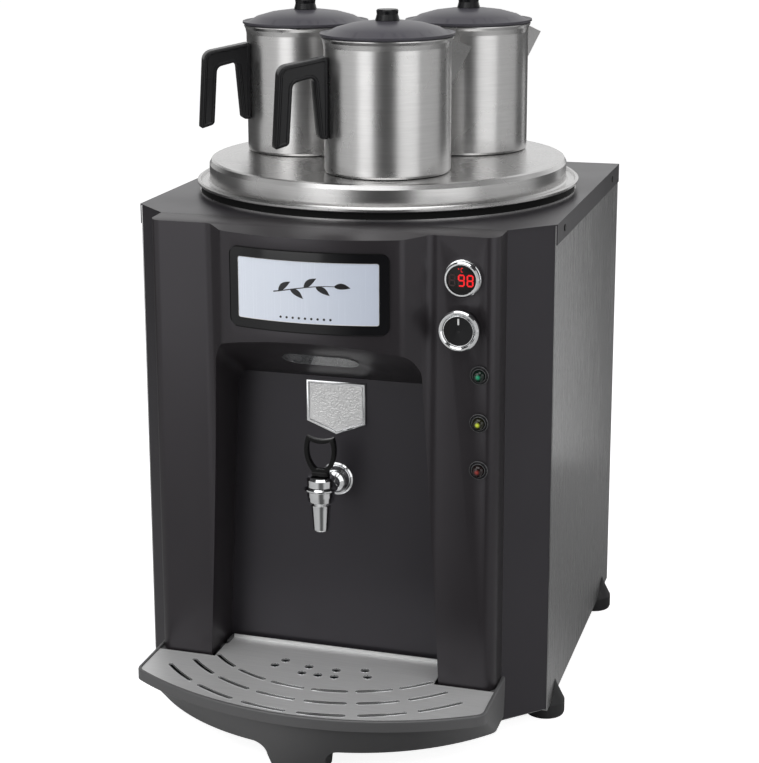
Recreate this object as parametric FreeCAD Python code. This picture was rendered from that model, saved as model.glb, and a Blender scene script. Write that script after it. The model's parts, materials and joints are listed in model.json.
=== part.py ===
import FreeCAD, Part
import math
import os

# Tea urn with a recessed tap, a drip tray and three brewing pots on its lid.
# Millimetres. Pieces are drawn from the case's own datum: X from the middle of the
# case, Y from the front corners of the side panels (front is negative), Z from the
# underside of the case. place() moves them to the object's frame, whose origin is the
# middle of the footprint on the floor.

os.makedirs("parts", exist_ok=True)

# Case: outer sizes of the sheet-metal box and its fits.
CASE_WIDTH = 420.0
CASE_DEPTH = 361.0
CASE_HEIGHT = 489.0
CORNER_CHAMFER = 39.0
SHEET = 1.0
FIT = 0.2
COVER_LIP = 0.5
COVER_FLANGE = 20.0
PANEL_RETURN = 14.0
FOOT_DROP = 20.0

# Fascia: the moulded hood with its columns, bulge and recess.
FASCIA_WALL = 3.0
COLUMN_DEPTH = 33.5
COLUMN_WIDTH = 63.0
COLUMN_CORNER = 12.0
STEP_RUN = 20.0
STEP_DEPTH = 26.0
STEP_ROUND = 13.0
BULGE_CROWN = 16.0
HOOD_FALL = 2.5
BOSS_RADIUS = 6.0
COLUMN_TUCK = 2.5

# Recess: the bay in front of the tap.
RECESS_INSET = 18.5
RECESS_TOP_DROP = 158.0
RECESS_LAP = 13.0
RECESS_FLARE = 0.0496
RECESS_CORNER = 12.0
RECESS_WALL = 2.5
CEILING_RISE = 0.61
PAN_CLEARANCE = 1.0
PAN_SILL = 3.0

# Display on the bulge.
DISPLAY_MARGIN = 11.0
DISPLAY_DROP = 14.5
DISPLAY_HEIGHT = 76.0
DISPLAY_BORDER = 9.0
DISPLAY_CORNER = 8.0
DISPLAY_POCKET = 1.4
DISPLAY_PROUD = 0.5

# Controls on the right column.
CONTROL_INSET = 33.0
THERMOMETER_DROP = 39.5
THERMOMETER_RADIUS = 16.5
THERMOMETER_FLANGE = 0.8
THERMOMETER_PROUD = 9.0
THERMOMETER_BODY = 22.0
KNOB_DROP = 85.0
KNOB_RADIUS = 19.0
KNOB_HEIGHT = 19.0
KNOB_GAP = 0.8
SHAFT_RADIUS = 3.0
LAMP_INSET = 17.0
LAMP_DROP = 130.0
LAMP_PITCH = 45.5
LAMP_RADIUS = 8.8
LENS_RADIUS = 5.5
LAMP_BODY = 20.0

# Recess lamp and badge.
RECESS_LAMP_LENGTH = 75.0
RECESS_LAMP_WIDTH = 30.0
RECESS_LED_RADIUS = 11.0
BADGE_WIDTH = 60.0
BADGE_SIDE = 41.5
BADGE_HEIGHT = 53.0
BADGE_THICK = 2.4
BADGE_DROP = 4.0

# Tap.
TAP_DROP = 103.0
TAP_REACH = 52.0
TAP_FLANGE_RADIUS = 16.5
FLANGE_DEPTH = 8.0
SHANK_RADIUS = 8.0
BOWL_RADIUS = 13.3
SPOUT_RADIUS = 7.7
SPOUT_DROP = 35.0
BORE_RADIUS = 4.5
BONNET_HEIGHT = 13.0
BONNET_RING_RADIUS = 16.2
LEVER_WIDTH = 16.0
LOOP_WIDTH = 31.0
LOOP_HEIGHT = 38.0
LOOP_BAR = 3.6
LOOP_DEPTH = 5.6
LEVER_STEM = 9.0
STEM_RADIUS = 2.2
LEVER_DEPTH = 7.2
LEVER_SWING_ANGLE = 35.0
SEAT_TRAVEL = 3.0
PIN_RADIUS = 1.5

# Boiler.
AIR_GAP = 7.5
INSULATION = 8.0
TANK_BELOW_TAP = 25.0
LEG_WIDTH = 24.0
LEG_THICK = 3.0
MOUTH_LEDGE = 20.0
SEAL_HEIGHT = 7.3
SEAL_WIDTH = 8.4
LID_THICK = 1.2
LID_RISE = 24.0
LID_BRIM = 12.5
LID_EDGE_ROUND = 5.0
STEAM_HOLE_RADIUS = 48.0
ELEMENT_RISE = 30.0
ELEMENT_REACH = 130.0
ELEMENT_BEND = 16.0
ELEMENT_TAIL = 14.0
ELEMENT_SPREAD = 18.0
POCKET_LENGTH = 65.0

# Pots.
POT_RADIUS = 62.3
POT_WALL = 1.0
POT_HEIGHT = 132.0
POT_FLARE = 2.4
POT_GAP = 46.0
POT_TURN_ANGLE = 16.1
HANDLE_THICK = 18.0
HANDLE_REACH = 52.0
HANDLE_LEG = 14.0
HANDLE_MOUNT = 8.5
HANDLE_TOP = 115.5
HANDLE_BOTTOM = 27.0
HANDLE_MOUNT_BOTTOM = 35.0
SPOUT_REACH = 24.5
SPOUT_TOP_DROP = 3.5
SPOUT_TIP_DROP = 13.5
SPOUT_LENGTH = 53.0
SPOUT_HALF = 23.0
POT_LID_RADIUS = 66.0
POT_LID_THICK = 1.4
POT_LID_DOME = 14.0
LID_KNOB_RADIUS = 12.0
LID_KNOB_HEIGHT = 10.5

# Drip tray and grid.
TRAY_PROJECTION = 66.0
TRAY_OVERHANG = 4.0
TRAY_BOW = 54.0
TRAY_CORNER = 14.0
TRAY_TOP = 49.5
TRAY_BAND = 10.5
TRAY_LIP = 4.5
TRAY_WALL = 2.5
TRAY_BOTTOM = 8.0
TRAY_RAKE = 17.0
TRAY_KEEL_BOW = 88.5
TRAY_CLEARANCE = 1.6
TRAY_RUNNING_GAP = 0.3
TRAY_EDGE_ROUND = 1.5
GRID_THICK = 1.2
GRID_INSET = 3.0
GRID_SINK = 2.2
GRID_LEDGE = 5.0
GRID_UPSTAND = 3.3
GRID_LIFT = 40.0
GRID_GAP = 2.2
SLOT_ARC_CENTRE = 30.5
SLOT_FIRST_RADIUS = 149.5
SLOT_PITCH = 25.5
SLOT_WIDTH = 4.0
SLOT_SPAN_ANGLE = 12.0
SLOT_STEP_ANGLE = 16.4
DRAIN_HOLE_RADIUS = 4.0
TRAY_FOOT_HALF = 29.0
TRAY_FOOT_FLARE = 14.0
TRAY_FOOT_TAPER = 3.0
TRAY_FOOT_DEPTH = 26.0

# Feet.
FOOT_RADIUS = 20.0
FOOT_INSET = 11.0
FOOT_SETBACK = 39.0
FOOT_PETAL = 17.0
FOOT_SCREW_INSET = 9.0

# Back of the case.
GLAND_REACH = 22.0
LOUVRE_LENGTH = 90.0
LOUVRE_HEIGHT = 5.0
LOUVRE_PITCH = 14.0

# Places worked out from the sizes above.
HALF = CASE_WIDTH / 2
FRONT_Y = -(CORNER_CHAMFER - COVER_LIP)
COLUMN_OUT_X = HALF - CORNER_CHAMFER
COLUMN_Y = FRONT_Y - COLUMN_DEPTH
STEP_FOOT_X = COLUMN_OUT_X - COLUMN_WIDTH
SHOULDER_X = STEP_FOOT_X - STEP_RUN
SHOULDER_Y = COLUMN_Y - STEP_DEPTH
APEX_Y = SHOULDER_Y - BULGE_CROWN
BULGE_RADIUS = (SHOULDER_X ** 2 + BULGE_CROWN ** 2) / (2 * BULGE_CROWN)
BULGE_AXIS_Y = APEX_Y + BULGE_RADIUS
WALL_Y = FRONT_Y + RECESS_INSET
RECESS_TOP = CASE_HEIGHT - RECESS_TOP_DROP
RECESS_HALF = SHOULDER_X + RECESS_LAP
TAP_Z = RECESS_TOP - TAP_DROP
TAP_Y = WALL_Y - TAP_REACH
CONTROL_X = COLUMN_OUT_X - CONTROL_INSET
LAMP_X = COLUMN_OUT_X - LAMP_INSET
FASCIA_BOTTOM = TRAY_TOP - COLUMN_TUCK
LID_Y = (CASE_DEPTH - CORNER_CHAMFER) / 2
TANK_RADIUS = LID_Y - WALL_Y - SHEET - AIR_GAP - INSULATION
TANK_FLOOR = TAP_Z - TANK_BELOW_TAP
PLATFORM_RADIUS = TANK_RADIUS + MOUTH_LEDGE
BRIM_RADIUS = PLATFORM_RADIUS + LID_BRIM
FLANGE_TOP = CASE_HEIGHT + LID_THICK
BRIM_Z = FLANGE_TOP + SEAL_HEIGHT
PLATFORM_Z = BRIM_Z + LID_RISE
POT_RING = (2 * POT_RADIUS + POT_GAP) / math.sqrt(3)
TRAY_FRONT_Y = APEX_Y - TRAY_PROJECTION
TRAY_HALF = COLUMN_OUT_X + TRAY_OVERHANG
TRAY_FRONT_RADIUS = (TRAY_HALF ** 2 + TRAY_BOW ** 2) / (2 * TRAY_BOW)
TRAY_KEEL_RADIUS = (TRAY_HALF ** 2 + TRAY_KEEL_BOW ** 2) / (2 * TRAY_KEEL_BOW)
TRAY_BACK_Y = FRONT_Y - TRAY_CLEARANCE
TONGUE_HALF = RECESS_HALF + 12.0
TONGUE_BACK_Y = WALL_Y - TRAY_CLEARANCE
LEDGE_Z = TRAY_TOP - GRID_SINK
GRID_TOP = LEDGE_Z + GRID_THICK
FOOT_X = HALF - FOOT_INSET
FOOT_TOP_RADIUS = FOOT_INSET - SHEET
OVERALL_DEPTH = CASE_DEPTH + GLAND_REACH - TRAY_FRONT_Y
DATUM_Y = OVERALL_DEPTH / 2 - CASE_DEPTH - GLAND_REACH


def vec(x, y, z):
    return FreeCAD.Vector(x, y, z)


UP = vec(0, 0, 1)
FORWARD = vec(0, -1, 0)
ACROSS = vec(1, 0, 0)


def block(x0, x1, y0, y1, z0, z1):
    """A box between two corners."""
    return Part.makeBox(x1 - x0, y1 - y0, z1 - z0, vec(x0, y0, z0))


def rod(radius, length, start, direction):
    """A cylinder from a point along a direction."""
    return Part.makeCylinder(radius, length, start, direction)


def outline(points, z):
    """A closed flat outline of straight lines at height z."""
    return Part.makePolygon([vec(x, y, z) for x, y in points + points[:1]])


def prism(points, z0, z1):
    """A flat outline drawn up from z0 to z1."""
    return Part.Face(outline(points, z0)).extrude(vec(0, 0, z1 - z0))


def upright(points, y0, y1):
    """An outline in the X-Z plane drawn back from y0 to y1."""
    wire = Part.makePolygon([vec(x, y0, z) for x, z in points + points[:1]])
    return Part.Face(wire).extrude(vec(0, y1 - y0, 0))


def turned(points, centre=(0, 0)):
    """A profile of (radius, height) pairs turned about a vertical axis."""
    wire = Part.makePolygon([vec(r, 0, z) for r, z in points + points[:1]])
    solid = Part.Face(wire).revolve(vec(0, 0, 0), UP, 360)
    solid.translate(vec(centre[0], centre[1], 0))
    return solid


def turned_forward(points, x, y, z):
    """A profile of (radius, distance forward) pairs turned about an axis towards -Y."""
    solid = turned(points)
    solid.rotate(vec(0, 0, 0), ACROSS, 90)
    solid.translate(vec(x, y, z))
    return solid


def vertical_edges(shape, spots, reach=0.6):
    """Upright edges of a shape whose middles lie near any of the (x, y) spots."""
    found = []
    for edge in shape.Edges:
        box = edge.BoundBox
        if box.XLength > 0.01 or box.YLength > 0.01:
            continue
        if any(math.hypot(box.XMin - x, box.YMin - y) < reach for x, y in spots):
            found.append(edge)
    return found


def both_sides(spots):
    """The spots and their mirror images across the middle of the case."""
    return spots + [(-x, y) for x, y in spots]


def rounded_plate(x0, x1, z0, z1, y0, y1, radius):
    """An upright plate in the X-Z plane with rounded corners."""
    plate = block(x0, x1, y0, y1, z0, z1)
    edges = []
    for edge in plate.Edges:
        box = edge.BoundBox
        if box.YLength > 0.5 * (y1 - y0):
            edges.append(edge)
    return plate.makeFillet(radius, edges)


def bent_sheet(points, thickness, z0, z1):
    """A sheet whose outer face follows the points; its thickness lies to the left."""
    inner = []
    count = len(points)
    for i in range(count):
        x, y = points[i]
        normals = []
        if i > 0:
            normals.append(left_normal(points[i - 1], points[i]))
        if i < count - 1:
            normals.append(left_normal(points[i], points[i + 1]))
        nx = sum(n[0] for n in normals) / len(normals)
        ny = sum(n[1] for n in normals) / len(normals)
        scale = thickness / (nx * nx + ny * ny)
        inner.append((x + nx * scale, y + ny * scale))
    return prism(points + inner[::-1], z0, z1)


def left_normal(a, b):
    """The unit normal to the left of the way from a to b."""
    dx = b[0] - a[0]
    dy = b[1] - a[1]
    length = math.hypot(dx, dy)
    return (-dy / length, dx / length)


def fuse_all(shapes):
    """One solid from several that touch."""
    result = shapes[0].fuse(shapes[1:])
    return result.removeSplitter()


def save(name, shape):
    """Move a piece to the object's frame and write it."""
    shape = shape.copy()
    shape.translate(vec(0, DATUM_Y, FOOT_DROP))
    shape.exportStep("parts/" + name + ".step")
    NODES[name] = shape


NODES = {}


# Case panels.

def plan_outline(inset):
    """The case seen from above, with its two chamfered front corners."""
    side = HALF - inset
    front = -CORNER_CHAMFER + inset
    corner = COLUMN_OUT_X - 0.4 * inset
    back = CASE_DEPTH - inset
    start = -0.4 * inset
    return [(-side, back), (-side, start), (-corner, front), (corner, front), (side, start), (side, back)]


def screw_spots():
    """Where the cover screws sit along each side: distance from the front corner."""
    return [FOOT_SETBACK - 2.0, CASE_DEPTH - FOOT_SETBACK - 6.0]


COVER_SCREW_Z = CASE_HEIGHT - COVER_FLANGE / 2
COVER_SCREW_RADIUS = 2.0


def make_top_cover():
    """The lid plate of the case with a round mouth and three turned-down flanges."""
    plate = prism(plan_outline(0), CASE_HEIGHT - SHEET, CASE_HEIGHT)
    low = CASE_HEIGHT - COVER_FLANGE
    flanges = [
        block(-HALF, -HALF + SHEET, 0, CASE_DEPTH, low, CASE_HEIGHT - SHEET),
        block(HALF - SHEET, HALF, 0, CASE_DEPTH, low, CASE_HEIGHT - SHEET),
        block(-HALF + SHEET, HALF - SHEET, CASE_DEPTH - SHEET, CASE_DEPTH, low, CASE_HEIGHT - SHEET),
    ]
    cover = fuse_all([plate] + flanges)
    mouth = rod(TANK_RADIUS + 2 * FIT, COVER_FLANGE, vec(0, LID_Y, low), UP)
    cover = cover.cut(mouth)
    for y in screw_spots():
        hole = rod(COVER_SCREW_RADIUS + FIT, CASE_WIDTH + 2, vec(-HALF - 1, y, COVER_SCREW_Z), ACROSS)
        cover = cover.cut(hole)
    return cover


def make_side_panel(side):
    """A plain side panel with a bottom return and a rear return, side is -1 or 1."""
    outer = HALF - SHEET
    inner = outer - SHEET
    top = CASE_HEIGHT - SHEET
    panel = block(inner, outer, 0, CASE_DEPTH - SHEET, 0, top)
    bottom = block(outer - PANEL_RETURN, inner, 0, CASE_DEPTH - SHEET, 0, SHEET)
    rear = block(outer - PANEL_RETURN, inner, CASE_DEPTH - 2 * SHEET, CASE_DEPTH - SHEET, SHEET, top)
    panel = fuse_all([panel, bottom, rear])
    for y in screw_spots():
        hole = rod(COVER_SCREW_RADIUS + FIT, 4 * SHEET, vec(inner - SHEET, y, COVER_SCREW_Z), ACROSS)
        panel = panel.cut(hole)
    for x, y, z in back_screw_places():
        if x > inner - PANEL_RETURN:
            panel = panel.cut(rod(COVER_SCREW_RADIUS + FIT, 6 * SHEET, vec(x, y - 5 * SHEET, z), -FORWARD))
    if side < 0:
        panel = panel.mirror(vec(0, 0, 0), ACROSS)
    return panel


def back_screw_places():
    """The back panel's screws: three up each edge, at the panel's outer face."""
    x = HALF - SHEET - PANEL_RETURN / 2
    heights = [PANEL_RETURN * 2, CASE_HEIGHT / 2, CASE_HEIGHT - COVER_FLANGE - PANEL_RETURN]
    return [(s * x, CASE_DEPTH, z) for s in (-1, 1) for z in heights]


def make_back_panel():
    """The rear sheet with two banks of pressed vents, screw holes and the gland's hole."""
    x = HALF - SHEET
    top = CASE_HEIGHT - COVER_FLANGE - FIT
    panel = block(-x, x, CASE_DEPTH - SHEET, CASE_DEPTH, 0, top)
    for px, py, pz in back_screw_places():
        panel = panel.cut(rod(COVER_SCREW_RADIUS + FIT, 3 * SHEET, vec(px, py - 2 * SHEET, pz), -FORWARD))
    gland_spot = vec(GLAND_X, CASE_DEPTH - 2 * SHEET, GLAND_Z)
    panel = panel.cut(rod(GLAND_THREAD + FIT, 3 * SHEET, gland_spot, -FORWARD))
    first = CASE_HEIGHT * 0.28
    for side in (-1, 1):
        centre = side * LOUVRE_LENGTH * 0.9
        for i in range(6):
            z = first + i * LOUVRE_PITCH
            slot = block(centre - LOUVRE_LENGTH / 2, centre + LOUVRE_LENGTH / 2,
                         CASE_DEPTH - 2 * SHEET, CASE_DEPTH + SHEET, z, z + LOUVRE_HEIGHT)
            panel = panel.cut(slot)
    return panel


def make_base_plate():
    """The floor of the case, lying on the side panels' bottom returns."""
    x = HALF - 2 * SHEET - FIT
    front = FRONT_Y + SHEET + FIT
    back = CASE_DEPTH - 2 * SHEET - FIT
    corner = COLUMN_OUT_X - SHEET
    points = [(-x, back), (-x, 2 * SHEET), (-corner, front), (corner, front), (x, 2 * SHEET), (x, back)]
    plate = prism(points, SHEET, 2 * SHEET)
    lip = block(-x, x, back - SHEET, back, 2 * SHEET, PANEL_RETURN)
    plate = fuse_all([plate, lip])
    for x, y in foot_screw_places():
        plate = plate.cut(rod(COVER_SCREW_RADIUS + FIT, 4 * SHEET, vec(x, y, 0), UP))
    return plate


def make_front_panel():
    """The dark front sheet: flat middle, two chamfers and returns behind the side panels."""
    side = HALF - 2 * SHEET - FIT
    start = -2 * FIT
    corner = side - (start - FRONT_Y)
    low = 2 * SHEET + FIT
    path = [(-side, PANEL_RETURN), (-side, start), (-corner, FRONT_Y), (corner, FRONT_Y),
            (side, start), (side, PANEL_RETURN)]
    top = CASE_HEIGHT - SHEET
    panel = bent_sheet(path, SHEET, low, top)
    ledge = block(-corner + SHEET, corner - SHEET, FRONT_Y + SHEET, FRONT_Y + PANEL_RETURN, top - SHEET, top)
    panel = fuse_all([panel, ledge])
    window = block(-pan_half(), pan_half(), FRONT_Y - SHEET, FRONT_Y + 2 * SHEET, low + PAN_SILL, pan_top())
    panel = panel.cut(window)
    wiring = block(CONTROL_X - 10, CONTROL_X + 10, FRONT_Y - SHEET, FRONT_Y + 2 * SHEET,
                   CASE_HEIGHT - KNOB_DROP - 20, CASE_HEIGHT - KNOB_DROP + 20)
    panel = panel.cut(wiring)
    for x, z in boss_places():
        panel = panel.cut(rod(2.2, 4 * SHEET, vec(x, FRONT_Y - SHEET, z), -FORWARD))
    return panel


# Recess pan behind the fascia.

def recess_half_at(z):
    """Half width of the bay at the back wall, which widens downwards."""
    return RECESS_HALF + RECESS_FLARE * (RECESS_TOP - z)


def ceiling_at(y):
    """Height of the bay's sloping ceiling at a depth y."""
    return RECESS_TOP + CEILING_RISE * (WALL_Y - y)


def pan_half():
    """Half width of the window in the front panel and of the pan behind it."""
    low = FASCIA_BOTTOM - CEILING_RISE * (WALL_Y - FRONT_Y)
    return recess_half_at(low) + RECESS_WALL + PAN_CLEARANCE


def pan_top():
    """Height of the window in the front panel."""
    return ceiling_at(FRONT_Y) + RECESS_WALL * 1.4 + PAN_CLEARANCE


def make_recess_panel():
    """The pan that closes the bay: back wall, sides and top, flanged to the front sheet."""
    half = pan_half()
    top = pan_top()
    low = 2 * SHEET + FIT
    front = FRONT_Y + SHEET + FIT
    outer = block(-half - SHEET, half + SHEET, front, WALL_Y + SHEET, low, top + SHEET)
    inner = block(-half, half, front - SHEET, WALL_Y, low - SHEET, top)
    flange = block(-half - PANEL_RETURN, half + PANEL_RETURN, front, front + SHEET, low, top + PANEL_RETURN)
    pan = fuse_all([outer, flange]).cut(inner)
    pan = pan.cut(rod(SHANK_RADIUS + FIT, 6 * SHEET, vec(0, WALL_Y - 2 * SHEET, TAP_Z), -FORWARD))
    return pan


# Fascia.

def bulge_disc(radius, z0, z1):
    """Part of the bulge's cylinder, in front of the shoulders."""
    disc = rod(radius, z1 - z0, vec(0, BULGE_AXIS_Y, z0), UP)
    front = block(-SHOULDER_X, SHOULDER_X, APEX_Y - 5, SHOULDER_Y, z0, z1)
    return disc.common(front)


def fascia_block(z0, z1):
    """The outer form of the fascia: columns, steps and bulge, with rounded corners."""
    points = [(-COLUMN_OUT_X, FRONT_Y), (-COLUMN_OUT_X, COLUMN_Y), (-STEP_FOOT_X, COLUMN_Y),
              (-SHOULDER_X, SHOULDER_Y), (SHOULDER_X, SHOULDER_Y), (STEP_FOOT_X, COLUMN_Y),
              (COLUMN_OUT_X, COLUMN_Y), (COLUMN_OUT_X, FRONT_Y)]
    body = fuse_all([prism(points, z0, z1), bulge_disc(BULGE_RADIUS, z0, z1)])
    corners = vertical_edges(body, both_sides([(COLUMN_OUT_X, COLUMN_Y)]))
    body = body.makeFillet(COLUMN_CORNER, corners)
    steps = vertical_edges(body, both_sides([(STEP_FOOT_X, COLUMN_Y), (SHOULDER_X, SHOULDER_Y)]))
    return body.makeFillet(STEP_ROUND, steps)


def recess_tunnel(grow, start_y, end_y):
    """The bay as a sheared block: the section at the back wall, drawn forward and up."""
    low = -FOOT_DROP * 4
    half_low = recess_half_at(low) + grow
    half_top = RECESS_HALF + grow
    top = RECESS_TOP + grow * 1.17
    shift = start_y - WALL_Y
    z_shift = -CEILING_RISE * shift
    corners = [(-half_low, low), (-half_top, top), (half_top, top), (half_low, low)]
    wire = Part.makePolygon([vec(x, start_y, z + z_shift) for x, z in corners + corners[:1]])
    run = end_y - start_y
    solid = Part.Face(wire).extrude(vec(0, run, -CEILING_RISE * run))
    edges = []
    for edge in solid.Edges:
        box = edge.BoundBox
        if box.YLength > 0.5 * abs(run) and box.ZMax > RECESS_TOP:
            edges.append(edge)
    return solid.makeFillet(RECESS_CORNER + grow, edges)


def boss_places():
    """Screw bosses inside the columns: X and Z."""
    x = COLUMN_OUT_X - COLUMN_CORNER - BOSS_RADIUS / 2
    return [(s * x, z) for s in (-1, 1) for z in (FASCIA_BOTTOM + 24, CASE_HEIGHT - 22)]


def hollow_of(body):
    """The inside of the fascia, one wall in from its outer form, open at the back."""
    floor = min(body.Faces, key=lambda face: face.CenterOfMass.z)
    inner = floor.makeOffset2D(-FASCIA_WALL)
    height = CASE_HEIGHT - FASCIA_BOTTOM - 2 * FASCIA_WALL
    cavity = inner.extrude(vec(0, 0, -height))
    if cavity.BoundBox.ZMin < FASCIA_BOTTOM:
        cavity = inner.extrude(vec(0, 0, height))
    cavity.translate(vec(0, 0, FASCIA_WALL))
    x = COLUMN_OUT_X - FASCIA_WALL
    opening = block(-x, x, FRONT_Y - FASCIA_WALL - 1, FRONT_Y + 1,
                    FASCIA_BOTTOM + FASCIA_WALL, CASE_HEIGHT - FASCIA_WALL)
    return cavity.fuse(opening)


def hood_cut():
    """What is taken off above the hood, which falls a little towards the front."""
    rise = HOOD_FALL / (FRONT_Y - APEX_Y)
    y0 = FRONT_Y + 5
    y1 = APEX_Y - 5
    z0 = CASE_HEIGHT + 5 * rise
    z1 = CASE_HEIGHT - rise * (FRONT_Y - y1)
    wire = Part.makePolygon([vec(-HALF, y0, z0), vec(-HALF, y1, z1), vec(-HALF, y1, z0 + 9),
                             vec(-HALF, y0, z0 + 9), vec(-HALF, y0, z0)])
    return Part.Face(wire).extrude(vec(CASE_WIDTH, 0, 0))


def make_front_fascia():
    """The one-piece moulding: columns, stepped bulge, hood and the arched bay with its walls."""
    body = fascia_block(FASCIA_BOTTOM, CASE_HEIGHT)
    shell = body.cut(hollow_of(body))
    sleeve = recess_tunnel(RECESS_WALL, WALL_Y - FIT, APEX_Y - 20)
    skin = body.fuse(block(-pan_half(), pan_half(), FRONT_Y - 1, WALL_Y - FIT, FASCIA_BOTTOM, pan_top()))
    sleeve = sleeve.common(skin)
    shell = shell.fuse(sleeve)
    for x, z in boss_places():
        boss = rod(BOSS_RADIUS, COLUMN_DEPTH - FASCIA_WALL / 2, vec(x, FRONT_Y - FIT, z), FORWARD)
        shell = shell.fuse(boss.common(body))
    shell = shell.cut(recess_tunnel(0, WALL_Y + 5, APEX_Y - 25))
    shell = shell.cut(hood_cut())
    shell = shell.cut(block(-HALF, HALF, FRONT_Y - COVER_LIP - FIT, FRONT_Y + 1,
                            CASE_HEIGHT - SHEET - FIT, CASE_HEIGHT + 1))
    for x, z in boss_places():
        shell = shell.cut(rod(1.6, 14, vec(x, FRONT_Y + 1, z), FORWARD))
    shell = shell.cut(display_pocket())
    thermometer_spot = vec(CONTROL_X, COLUMN_Y + 8, THERMOMETER_Z)
    shell = shell.cut(rod(THERMOMETER_RADIUS - 2 + FIT, 12, thermometer_spot, FORWARD))
    shell = shell.cut(rod(BUSH_RADIUS + FIT, 12, vec(CONTROL_X, COLUMN_Y + 8, KNOB_Z), FORWARD))
    for z in lamp_heights():
        shell = shell.cut(rod(LAMP_RADIUS - 2.5 + FIT, 12, vec(LAMP_X, COLUMN_Y + 8, z), FORWARD))
    shell = shell.cut(recess_lamp_block(FIT, -1.0, RECESS_WALL + 3))
    return shell.removeSplitter()


THERMOMETER_Z = CASE_HEIGHT - THERMOMETER_DROP
KNOB_Z = CASE_HEIGHT - KNOB_DROP
BUSH_RADIUS = SHAFT_RADIUS + 2.0
GLAND_THREAD = 9.0
GLAND_X = -HALF * 0.68
GLAND_Z = PANEL_RETURN * 4


def lamp_heights():
    """Heights of the three indicator lamps."""
    return [CASE_HEIGHT - LAMP_DROP - i * LAMP_PITCH for i in range(3)]


# Display.

DISPLAY_HALF = SHOULDER_X - DISPLAY_MARGIN
DISPLAY_TOP = CASE_HEIGHT - DISPLAY_DROP
DISPLAY_LOW = DISPLAY_TOP - DISPLAY_HEIGHT


def bulge_ring(r0, r1):
    """A slice of the bulge between two radii."""
    ring = rod(r1, DISPLAY_HEIGHT + 20, vec(0, BULGE_AXIS_Y, DISPLAY_LOW - 10), UP)
    core = rod(r0, DISPLAY_HEIGHT + 22, vec(0, BULGE_AXIS_Y, DISPLAY_LOW - 11), UP)
    return ring.cut(core)


def display_plate(grow, radius):
    """A rounded block through the bulge where the display sits."""
    return rounded_plate(-DISPLAY_HALF - grow, DISPLAY_HALF + grow, DISPLAY_LOW - grow, DISPLAY_TOP + grow,
                         APEX_Y - 20, COLUMN_Y + 10, radius)


def display_pocket():
    """The pocket for the frame and the window behind it."""
    seat = display_plate(FIT, DISPLAY_CORNER).common(
        bulge_ring(BULGE_RADIUS - DISPLAY_POCKET, BULGE_RADIUS + 10))
    window = display_plate(-DISPLAY_BORDER / 2, DISPLAY_CORNER / 2)
    return seat.fuse(window)


def make_display_frame():
    """The glossy frame, curved with the bulge."""
    frame = display_plate(0, DISPLAY_CORNER).common(
        bulge_ring(BULGE_RADIUS - DISPLAY_POCKET, BULGE_RADIUS + DISPLAY_PROUD))
    return frame.cut(display_plate(-DISPLAY_BORDER, 2.0))


def make_display_panel():
    """The lit panel behind the frame's window, with its tray."""
    front = BULGE_RADIUS - DISPLAY_POCKET
    back = display_plate(-DISPLAY_BORDER / 2 - FIT, DISPLAY_CORNER / 2)
    back = back.common(bulge_ring(front - 4.0, front))
    lens = display_plate(-DISPLAY_BORDER - FIT, 2.0).common(bulge_ring(front - 2.0, BULGE_RADIUS - 0.2))
    return back.fuse(lens).removeSplitter()


# Controls.

def make_thermometer_bezel():
    """The chrome barrel of the thermometer with its stepped rim, and its body behind."""
    r = THERMOMETER_RADIUS
    body = r - 2.0
    flange = r + THERMOMETER_FLANGE
    profile = [(0, -THERMOMETER_BODY), (body, -THERMOMETER_BODY), (body, 0), (flange, 0), (flange, 1.5),
               (r, 1.8), (r, THERMOMETER_PROUD - 1.5), (r - 1.2, THERMOMETER_PROUD),
               (r - 2.6, THERMOMETER_PROUD), (r - 2.6, THERMOMETER_PROUD - 3.2), (0, THERMOMETER_PROUD - 3.2)]
    return turned_forward(profile, CONTROL_X, COLUMN_Y, THERMOMETER_Z)


def make_thermometer_display():
    """The dark window with the lit figures."""
    r = THERMOMETER_RADIUS - 2.6 - FIT / 2
    low = THERMOMETER_PROUD - 3.2
    profile = [(0, low), (r, low), (r, low + 1.8), (0, low + 2.0)]
    return turned_forward(profile, CONTROL_X, COLUMN_Y, THERMOMETER_Z)


def make_indicator_bezels():
    """Three flanged lamp bodies in the right column, each with its nut behind."""
    bodies = []
    for z in lamp_heights():
        hole = LAMP_RADIUS - 2.5
        profile = [(0, -LAMP_BODY), (hole, -LAMP_BODY), (hole, 0), (LAMP_RADIUS, 0), (LAMP_RADIUS, 1.2),
                   (LAMP_RADIUS - 1.0, 2.4), (LENS_RADIUS + 0.8, 2.4), (LENS_RADIUS + 0.8, 0.8), (0, 0.8)]
        bodies.append(turned_forward(profile, LAMP_X, COLUMN_Y, z))
    return Part.makeCompound(bodies)


def make_indicator_lens(z):
    """One domed lamp lens seated in its bezel."""
    r = LENS_RADIUS
    profile = [(0, 0.8), (r, 0.8), (r, 4.6), (r * 0.93, 6.2), (r * 0.72, 7.4), (r * 0.4, 8.2), (0, 8.5)]
    return turned_forward(profile, LAMP_X, COLUMN_Y, z)


def make_thermostat_body():
    """The thermostat behind the column, with a threaded bush that carries the shaft."""
    back = COLUMN_Y + FASCIA_WALL
    case = block(CONTROL_X - 15, CONTROL_X + 15, back, back + 22, KNOB_Z - 15, KNOB_Z + 15)
    bush = rod(BUSH_RADIUS, FASCIA_WALL + KNOB_GAP - 0.3, vec(CONTROL_X, back, KNOB_Z), FORWARD)
    body = case.fuse(bush).removeSplitter()
    bore = rod(SHAFT_RADIUS + 0.05, 18, vec(CONTROL_X, back + 12, KNOB_Z), FORWARD)
    return body.cut(bore)


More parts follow.
